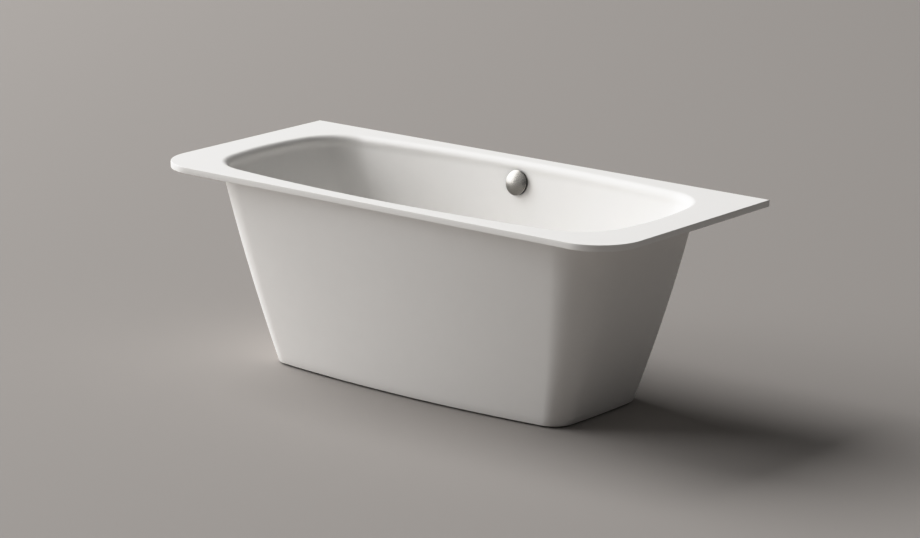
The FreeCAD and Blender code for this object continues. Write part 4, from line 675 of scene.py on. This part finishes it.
for foot, (x, y) in FEET.items():
    low, high = (corner[2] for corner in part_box("foot_spindle_" + foot))
    core = SPINDLE - THREAD_DEPTH
    shape = [(core * TIP_SHARE, low), (SPINDLE - SPINDLE_EDGE, low), (SPINDLE, low + SPINDLE_EDGE),
             (SPINDLE, COLLAR_LOW), *hexagon_profile(COLLAR_FLATS, COLLAR_LOW, COLLAR_HIGH),
             (core, COLLAR_HIGH), (core, high), (core * TIP_SHARE, high)]
    rod = turned("rod", shape, Matrix.Translation((x, y, 0)), HEXAGON_STEPS)
    spindle = gathered("spindle_" + foot, [rod, thread("thread", COLLAR_HIGH, high, Vector((x, y, 0)))])
    dress(spindle, zinc)
    stand_for(spindle, "foot_spindle_" + foot, "foot_" + foot)

# Foot pads.
# Moulded rubber feet with a broad base and a grooved shoulder, each with a socket for its spindle.
# They stop the tub from creeping on the tiles.
PAD_RADIUS = 27 * MM
PAD_LIP = 4 * MM
PAD_NECK = 14 * MM
PAD_SHOULDER = 9 * MM
PAD_HEIGHT = 22 * MM
PAD_SOCKET_FLOOR = 10 * MM
PAD_ROUND = 1 * MM
PAD_GROOVES = 3
GROOVE_DEPTH = 0.6 * MM
# The way across one groove's band, and the depth that is reached there.
GROOVE_SHARES = ((0.15, 0), (0.35, 1), (0.6, 1), (0.8, 0))
RUBBER_GRAIN = 1.2 * MM
RUBBER_DEPTH = 0.12 * MM
RUBBER_EDGE = 0.3 * MM


def pad_profile():
    """From the middle of the base, up the grooved shoulder and the neck, and down into the socket."""
    profile = [(PAD_RADIUS * TIP_SHARE, 0), (PAD_RADIUS - PAD_ROUND, 0), (PAD_RADIUS, PAD_ROUND),
               (PAD_RADIUS, PAD_LIP - PAD_ROUND)]
    for groove in range(PAD_GROOVES):
        for across, down in GROOVE_SHARES:
            way = (groove + across) / PAD_GROOVES
            reach = PAD_RADIUS + (PAD_NECK - PAD_RADIUS) * way
            profile.append((reach, PAD_LIP + (PAD_SHOULDER - PAD_LIP) * way - GROOVE_DEPTH * down))
    socket = SPINDLE + SPINDLE_PLAY
    return profile + [(PAD_NECK, PAD_SHOULDER + PAD_ROUND), (PAD_NECK, PAD_HEIGHT - PAD_ROUND),
                      (PAD_NECK - PAD_ROUND, PAD_HEIGHT), (socket, PAD_HEIGHT), (socket, PAD_SOCKET_FLOOR),
                      (socket * TIP_SHARE, PAD_SOCKET_FLOOR)]


# Moulded rubber: dull black with a dusting of grey, and its fine grain drawn coarser so that it shows.
rubber, spot = new_material("moulded_black_rubber", {"IOR": 1.52})
grain = add_node(rubber, "ShaderNodeTexNoise", {"Vector": spot, "Scale": 1 / RUBBER_GRAIN, "Detail": 4.0})
surface(rubber, grain.outputs["Fac"], ("#1A1A1B", "#2A2A2B"), (0.66, 0.85), RUBBER_DEPTH, RUBBER_EDGE)
for foot, (x, y) in FEET.items():
    pad = turned("pad_" + foot, pad_profile(), Matrix.Translation((x, y, 0)))
    smooth(pad)
    dress(pad, rubber)
    stand_for(pad, "foot_pad_" + foot, "foot_" + foot)

# Skirt stays.
# Bent strips that tie the skirt to the board at the front and at both ends, so that a knock can't push it in.
# They are cut from the same galvanised sheet, screwed under the board and bonded to the skirt.
for side in ("front", "left", "right"):
    dress(nodes["skirt_stay_" + side], galvanised)

# Stay screws.
# Two short pan-head screws hold each stay's tab under the board.
# They are like the rail screws, one size smaller.
STAY_SCREW = (2 * MM, 12 * MM, 4 * MM, 2.5 * MM)
STAY_SCREW_Y = 126.9 * MM
STAY_SCREW_X = 432.6 * MM
STAY_SCREW_HALF = 9 * MM
stay_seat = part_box("stay_screws")[0][2] + STAY_SCREW[3]
stay_spots = [(-STAY_SCREW_HALF, -STAY_SCREW_Y), (STAY_SCREW_HALF, -STAY_SCREW_Y)]
stay_spots += [(x, y) for x in (-STAY_SCREW_X, STAY_SCREW_X) for y in (-STAY_SCREW_HALF, STAY_SCREW_HALF)]
stay_screws = screw_set("stay_screw_set", STAY_SCREW, stay_spots, stay_seat)
dress(stay_screws, zinc)
stand_for(stay_screws, "stay_screws", "tub")

# Overflow seals.
# A flat ring under the front flange and a broad gasket behind the wall close the joint on both faces.
# Both are punched from black rubber sheet.
for seal in ("overflow_inner_seal", "overflow_gasket"):
    dress(nodes[seal], rubber)

# Overflow flange.
# The ring and hub in the bowl that the water runs through and the knob's shaft turns in.
# It is moulded plastic, drawn against the wall by two screws, and shows as a dark line round the knob.
SPARK = 0.9 * MM
SPARK_DEPTH = 0.05 * MM
FLANGE_EDGE = 0.4 * MM
# Moulded black polypropylene: dull and almost without colour.
# The spark texture of its mould is drawn coarser so that it shows.
black_plastic, spot = new_material("moulded_black_polypropylene", {"IOR": 1.49})
spark = add_node(black_plastic, "ShaderNodeTexNoise", {"Vector": spot, "Scale": 1 / SPARK, "Detail": 3.0})
surface(black_plastic, spark.outputs["Fac"], ("#101011", "#19191A"), (0.5, 0.65), SPARK_DEPTH, FLANGE_EDGE)
dress(nodes["overflow_flange"], black_plastic)

# Overflow body and gear cover.
# The chamber behind the wall leads the water down to the pipe, and its gearbox holds the pinion and the rack.
# Both are moulded plastic; the cover closes the gearbox from behind.
BODY_EDGE = 0.5 * MM
# Moulded grey polypropylene: waxy mid grey with the same spark texture as the flange.
grey_plastic, spot = new_material("moulded_grey_polypropylene", {"IOR": 1.49})
spark = add_node(grey_plastic, "ShaderNodeTexNoise", {"Vector": spot, "Scale": 1 / SPARK, "Detail": 3.0})
surface(grey_plastic, spark.outputs["Fac"], ("#6B6E71", "#76797C"), (0.4, 0.55), SPARK_DEPTH, BODY_EDGE)
for moulding in ("overflow_body", "gear_cover"):
    dress(nodes[moulding], grey_plastic)

# Overflow screws.
# Two long screws draw the flange to the body, and three small ones hold the gear cover.
# They are stainless steel, because they stay wet.
FORMING_MARK = 2.5 * MM
FORMING_DEPTH = 0.003 * MM
STAINLESS_EDGE = 0.4 * MM
# Cold-headed stainless steel: a neutral grey shine with soft marks from the forming.
stainless, spot = new_material("formed_stainless_steel", {"Metallic": 1.0})
marks = add_node(stainless, "ShaderNodeTexNoise",
                 {"Vector": spot, "Scale": 1 / FORMING_MARK, "Detail": 3.0})
surface(stainless, marks.outputs["Fac"], ("#A5A4A2", "#BCBBB9"), (0.2, 0.34), FORMING_DEPTH, STAINLESS_EDGE)
for screws in ("flange_screws", "cover_screws"):
    dress(nodes[screws], stainless)

# Knob shaft.
# A brass spindle that runs from the knob through the flange's hub to the pinion.
# It is turned from bar.
TOOL_RING = 0.8 * MM
TOOL_RING_DEPTH = 0.01 * MM
BRASS_EDGE = 0.3 * MM
# Turned brass: warm yellow with fine rings from the tool, drawn coarser here so that they show.
brass, spot = new_material("turned_brass", {"Metallic": 1.0})
tool_rings = add_node(brass, "ShaderNodeTexWave",
                      {"Vector": spot, "Scale": BAND_REPEAT / TOOL_RING, "Distortion": 2.0, "Detail": 2.0},
                      bands_direction="DIAGONAL")
surface(brass, tool_rings.outputs["Fac"], ("#A98A4C", "#BF9F5E"), (0.22, 0.36), TOOL_RING_DEPTH, BRASS_EDGE)
dress(nodes["knob_shaft"], brass)

# Drive pinion and rack.
# A quarter turn of the pinion drives the rack down and pushes the cable's core.
# Both are moulded in acetal, which runs dry.
FLOW_MARK = 3 * MM
FLOW_DEPTH = 0.03 * MM
LIGHT_DEPTH = 2 * MM
GEAR_EDGE = 0.3 * MM
# Moulded acetal: milky white, a little translucent, with a slick even sheen.
acetal, spot = new_material("moulded_acetal", {"IOR": 1.48, "Subsurface Weight": 0.15,
                                               "Subsurface Scale": LIGHT_DEPTH})
flow = add_node(acetal, "ShaderNodeTexNoise", {"Vector": spot, "Scale": 1 / FLOW_MARK, "Detail": 2.0})
surface(acetal, flow.outputs["Fac"], ("#E4E1D8", "#ECEAE2"), (0.3, 0.42), FLOW_DEPTH, GEAR_EDGE)
for gear in ("drive_pinion", "cable_rack"):
    dress(nodes[gear], acetal)

# Core wires.
# The bare ends of the cable's core, fixed in the rack at the top and in the sliding end at the foot.
# They are stranded stainless wire.
LAY = 1.2 * MM
LAY_DEPTH = 0.15 * MM
# Stranded wire: slanting light and dark lines of its lay, drawn coarser than the strands are.
strands, spot = new_material("stranded_stainless_wire", {"Metallic": 1.0})
lay = add_node(strands, "ShaderNodeTexWave", {"Vector": spot, "Scale": BAND_REPEAT / LAY},
               bands_direction="DIAGONAL")
surface(strands, lay.outputs["Fac"], ("#8B8B8A", "#B9B8B6"), (0.28, 0.42), LAY_DEPTH)
for wire in ("core_wire_upper", "core_wire_lower"):
    dress(nodes[wire], strands)

# Overflow knob.
# A turned cap that hides the overflow and opens the waste by a quarter turn.
# It is brass with a satin chrome plating, pushed on the shaft.
KNOB_RADIUS = 37.5 * MM
KNOB_GAP = 8.5 * MM
KNOB_RIM = 2.5 * MM
KNOB_CROWN = 4 * MM
KNOB_EDGE = 1.5 * MM
KNOB_SHELL = 2.5 * MM
KNOB_BOSS = 9 * MM
KNOB_BOSS_FOOT = 3.5 * MM
BACK_EDGE = 0.4 * MM
DOME_STEPS = 12
CAP_STEPS = 128
BRUSHING = 3 * MM
BRUSHING_DEPTH = 0.001 * MM


def dome(radius, foot, rise):
    """Profile steps of a shallow dome, from just inside its edge to near its crown."""
    sphere = (radius ** 2 + rise ** 2) / (2 * rise)
    reaches = [radius * (1 - step / DOME_STEPS) for step in range(1, DOME_STEPS)]
    return [(reach, foot + rise - sphere + math.sqrt(sphere ** 2 - reach ** 2)) for reach in reaches]


def knob_profile():
    """From the boss inside, round the rim and over the crown."""
    front = KNOB_GAP + KNOB_RIM
    ceiling = front - KNOB_EDGE
    inner = KNOB_RADIUS - KNOB_SHELL
    profile = [(KNOB_BOSS * TIP_SHARE, KNOB_BOSS_FOOT), (KNOB_BOSS, KNOB_BOSS_FOOT), (KNOB_BOSS, ceiling),
               (inner, ceiling), (inner, KNOB_GAP), (KNOB_RADIUS - BACK_EDGE, KNOB_GAP),
               (KNOB_RADIUS, KNOB_GAP + BACK_EDGE)]
    for sine, cosine in quarter_turns(EDGE_STEPS):
        profile.append((KNOB_RADIUS - KNOB_EDGE * (1 - cosine), ceiling + KNOB_EDGE * sine))
    return profile + dome(KNOB_RADIUS - KNOB_EDGE, front, KNOB_CROWN)


knob = turned("overflow_cap", knob_profile(), OVERFLOW_PLACE, CAP_STEPS)
smooth(knob)
# Satin chrome plate: a broad soft reflection with faint clouds from the brushing under the plating.
chrome, spot = new_material("satin_chrome_plate", {"Metallic": 1.0})
brushing = add_node(chrome, "ShaderNodeTexNoise", {"Vector": spot, "Scale": 1 / BRUSHING, "Detail": 3.0})
surface(chrome, brushing.outputs["Fac"], ("#9C9994", "#A29F9A"), (0.24, 0.28), BRUSHING_DEPTH)
dress(knob, chrome)
stand_for(knob, "overflow_knob", "knob")

# Knob screw.
# A grub screw through the boss that holds the knob on its shaft.
# It is stainless steel and can only be reached from below.
dress(nodes["knob_screw"], stainless)

# Overflow pipe.
# A bent pipe that leads the overflow's water down behind the bowl into the waste body.
# It is extruded white plastic, held by a nut at each end.
DIE_LINE = 2 * MM
DIE_LINE_LENGTH = 60 * MM
DIE_LINE_DEPTH = 0.04 * MM
PIPE_EDGE = 0.4 * MM
# Extruded white pipe: clean and fairly glossy, with faint lines drawn along it by the die.
white_pipe, spot = new_material("extruded_white_polypropylene", {"IOR": 1.49})
drawn = add_node(white_pipe, "ShaderNodeMapping",
                 {"Vector": spot, "Scale": (1 / DIE_LINE, 1 / DIE_LINE, 1 / DIE_LINE_LENGTH)})
die_lines = add_node(white_pipe, "ShaderNodeTexNoise",
                     {"Vector": drawn.outputs["Vector"], "Scale": 1.0, "Detail": 2.0})
surface(white_pipe, die_lines.outputs["Fac"], ("#DCDCD8", "#E6E6E2"), (0.28, 0.4), DIE_LINE_DEPTH, PIPE_EDGE)
dress(nodes["overflow_pipe"], white_pipe)

# Pipe nuts.
# Union nuts with grip flutes that press a ring on the pipe at the overflow and at the waste body.
# They are moulded and tightened by hand.
for end in ("upper", "lower"):
    dress(nodes["pipe_nut_" + end], grey_plastic)

# Control cable.
# A push and pull cable in its sheath, from the gearbox down to the stop beside the waste body.
# The sheath is extruded over a steel coil, whose turns show through faintly.
COIL = 2 * MM
COIL_DEPTH = 0.1 * MM
# Extruded cable sheath: black, half glossy, with soft rings from the coil inside.
sheath, spot = new_material("extruded_cable_sheath", {"IOR": 1.52})
coils = add_node(sheath, "ShaderNodeTexWave", {"Vector": spot, "Scale": BAND_REPEAT / COIL},
                 bands_direction="Z")
surface(sheath, coils.outputs["Fac"], ("#1D1E20", "#26272A"), (0.38, 0.5), COIL_DEPTH)
dress(nodes["control_cable"], sheath)

# Cable clips.
# Two open clips on the overflow pipe that the cable snaps into.
# They are moulded in the same plastic as the nuts.
dress(nodes["cable_clips"], grey_plastic)

# Waste flange.
# The ring in the floor of the bowl, with its tube and the ribs that guide the plug's stem.
# It is pressed and welded stainless steel, screwed down into the waste body.
dress(nodes["waste_flange"], stainless)

# Waste seals.
# A thin ring under the flange and a thicker one under the floor.
# Both are black rubber.
for seal in ("waste_seal_upper", "waste_seal_lower"):
    dress(nodes[seal], rubber)

# Waste body.
# The pot under the floor that gathers the water, with an inlet for the overflow pipe and the lever inside.
# It is moulded in one piece and hangs from the flange.
dress(nodes["waste_body"], grey_plastic)

# Plug cap.
# The domed lid of the waste, which rises when the knob is turned.
# It is brass with the same satin chrome plating as the knob.
PLUG_RADIUS = 31 * MM
PLUG_RIM = 2 * MM
PLUG_CROWN = 4.5 * MM
PLUG_EDGE = 0.5 * MM


def plug_profile():
    """From the middle of the underside, round the rim and over the crown."""
    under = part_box("plug_cap")[0][2]
    rim_top = under + PLUG_RIM
    profile = [(PLUG_RADIUS * TIP_SHARE, under), (PLUG_RADIUS - PLUG_EDGE, under),
               (PLUG_RADIUS, under + PLUG_EDGE)]
    for sine, cosine in quarter_turns(EDGE_STEPS):
        profile.append((PLUG_RADIUS - PLUG_EDGE * (1 - cosine), rim_top - PLUG_EDGE * (1 - sine)))
    return profile + dome(PLUG_RADIUS, rim_top, PLUG_CROWN)


plug = turned("plug_lid", plug_profile(), steps=CAP_STEPS)
smooth(plug)
dress(plug, chrome)
stand_for(plug, "plug_cap", "plug")

# Plug seal.
# A rubber ring on the plug's underside that presses on the flange.
# It is held by its own stretch.
dress(nodes["plug_seal"], rubber)

# Plug stem.
# A brass rod that slides in the flange's hub and stands on the lever's tip.
# It is turned and screwed into the plug.
dress(nodes["plug_stem"], brass)

# Lift lever.
# The finger inside the waste body that lifts the stem.
# It is moulded plastic, fixed on the lever shaft.
dress(nodes["lift_lever"], grey_plastic)

# Lever shaft and crank pin.
# The shaft carries the lever inside the body and the crank outside it; the pin drives the crank.
# Both are turned brass.
for turned_part in ("lever_shaft", "crank_pin"):
    dress(nodes[turned_part], brass)

# Crank arm.
# The arm outside the waste body that turns the shaft when the cable pushes it.
# It is stamped from stainless sheet.
dress(nodes["crank_arm"], stainless)

# Cable end.
# The sliding block at the cable's foot, with an upright slot for the crank's pin.
# It is moulded acetal, fixed on the core wire.
dress(nodes["cable_end"], acetal)

# Trap bend.
# The bent pipe under the waste body that holds water against the smell of the drain.
# It is moulded white plastic.
dress(nodes["trap_bend"], white_pipe)

# Trap nuts.
# Two larger union nuts: one holds the bend under the body, the other the outlet pipe on the bend.
# They are moulded with the same flutes as the pipe nuts.
for nut in ("trap_nut", "outlet_nut"):
    dress(nodes[nut], grey_plastic)

# Outlet pipe.
# A straight pipe that runs back to the drain in the wall, with a bead that stops the drain's sleeve.
# It is the same white plastic pipe.
dress(nodes["outlet_pipe"], white_pipe)

# Camera and studio.
# A long lens looks down on the front right corner; the floor is one plain pale sweep without a horizon.
# A large soft lamp stands high on the left, and weaker ones lift the skirt, the floor and the right end.
LENS = 126.305
CAMERA_PLACE = (5.8012, -7.0087, 2.7108)
# The camera's fall and turn are in degrees.
CAMERA_FALL = 14.6148
CAMERA_TURN = 39.4768
FLOOR_REACH = 40
WORLD_STRENGTH = 0.02
LAMP_AIM = (0, 0, 0.4)
# Each lamp's place and width are in metres and its power is in watts.
LAMPS = {"key": ((-32.4, 0.6, 33.6), 26.0, 20800),
         "top": ((10.0, -2.0, 18.0), 10.0, 190),
         "side": ((-21.8, -7.6, 7.6), 22.0, 8900),
         "front": ((-12.0, -18.0, 9.0), 12.0, 240),
         "fill": ((18.0, -5.0, 14.0), 12.0, 200)}

camera_data = bpy.data.cameras.new("camera")
camera_data.lens = LENS
camera_data.clip_end = 2 * FLOOR_REACH
camera = bpy.data.objects.new("camera", camera_data)
camera.location = CAMERA_PLACE
camera.rotation_euler = (math.radians(90 - CAMERA_FALL), 0, math.radians(CAMERA_TURN))
bpy.context.scene.collection.objects.link(camera)
bpy.context.scene.camera = camera

corners = ((-1, -1), (1, -1), (1, 1), (-1, 1))
floor = mesh_piece("floor", [(x * FLOOR_REACH, y * FLOOR_REACH, 0) for x, y in corners], [(0, 1, 2, 3)])
paper = new_material("pale_studio_floor", {"Roughness": 0.9, "Base Color": linear("#8F8A86")})[0]
dress(floor, paper)

for name, (place, width, power) in LAMPS.items():
    lamp = bpy.data.lights.new(name, "AREA")
    lamp.size = width
    lamp.energy = power
    holder = bpy.data.objects.new(name, lamp)
    holder.location = place
    holder.rotation_euler = (Vector(LAMP_AIM) - Vector(place)).to_track_quat("-Z", "Y").to_euler()
    bpy.context.scene.collection.objects.link(holder)

world = bpy.data.worlds.new("studio")
world.use_nodes = True
surroundings = world.node_tree.nodes["Background"].inputs
surroundings["Color"].default_value = linear("#B9B4AF")
surroundings["Strength"].default_value = WORLD_STRENGTH
bpy.context.scene.world = world

# The picture keeps its tones up to the knee, and brighter ones are drawn in so that white keeps its form.
KNEE_SHARE = 0.62
BRIGHTEST = 1.7
CURVE_STEPS = 8
ALL_CHANNELS = 3
softness = (BRIGHTEST - KNEE_SHARE) / (1 - KNEE_SHARE)
view = bpy.context.scene.view_settings
view.view_transform = "Standard"
view.use_curve_mapping = True
view.curve_mapping.white_level = (BRIGHTEST, BRIGHTEST, BRIGHTEST)
tones = view.curve_mapping.curves[ALL_CHANNELS].points
tones.new(KNEE_SHARE / BRIGHTEST, KNEE_SHARE)
for step in range(1, CURVE_STEPS):
    share = step / CURVE_STEPS
    bright = KNEE_SHARE + (BRIGHTEST - KNEE_SHARE) * share
    tones.new(bright / BRIGHTEST, 1 - (1 - KNEE_SHARE) * (1 - share) ** softness)
for tone in tones:
    tone.handle_type = "VECTOR"
view.curve_mapping.update()
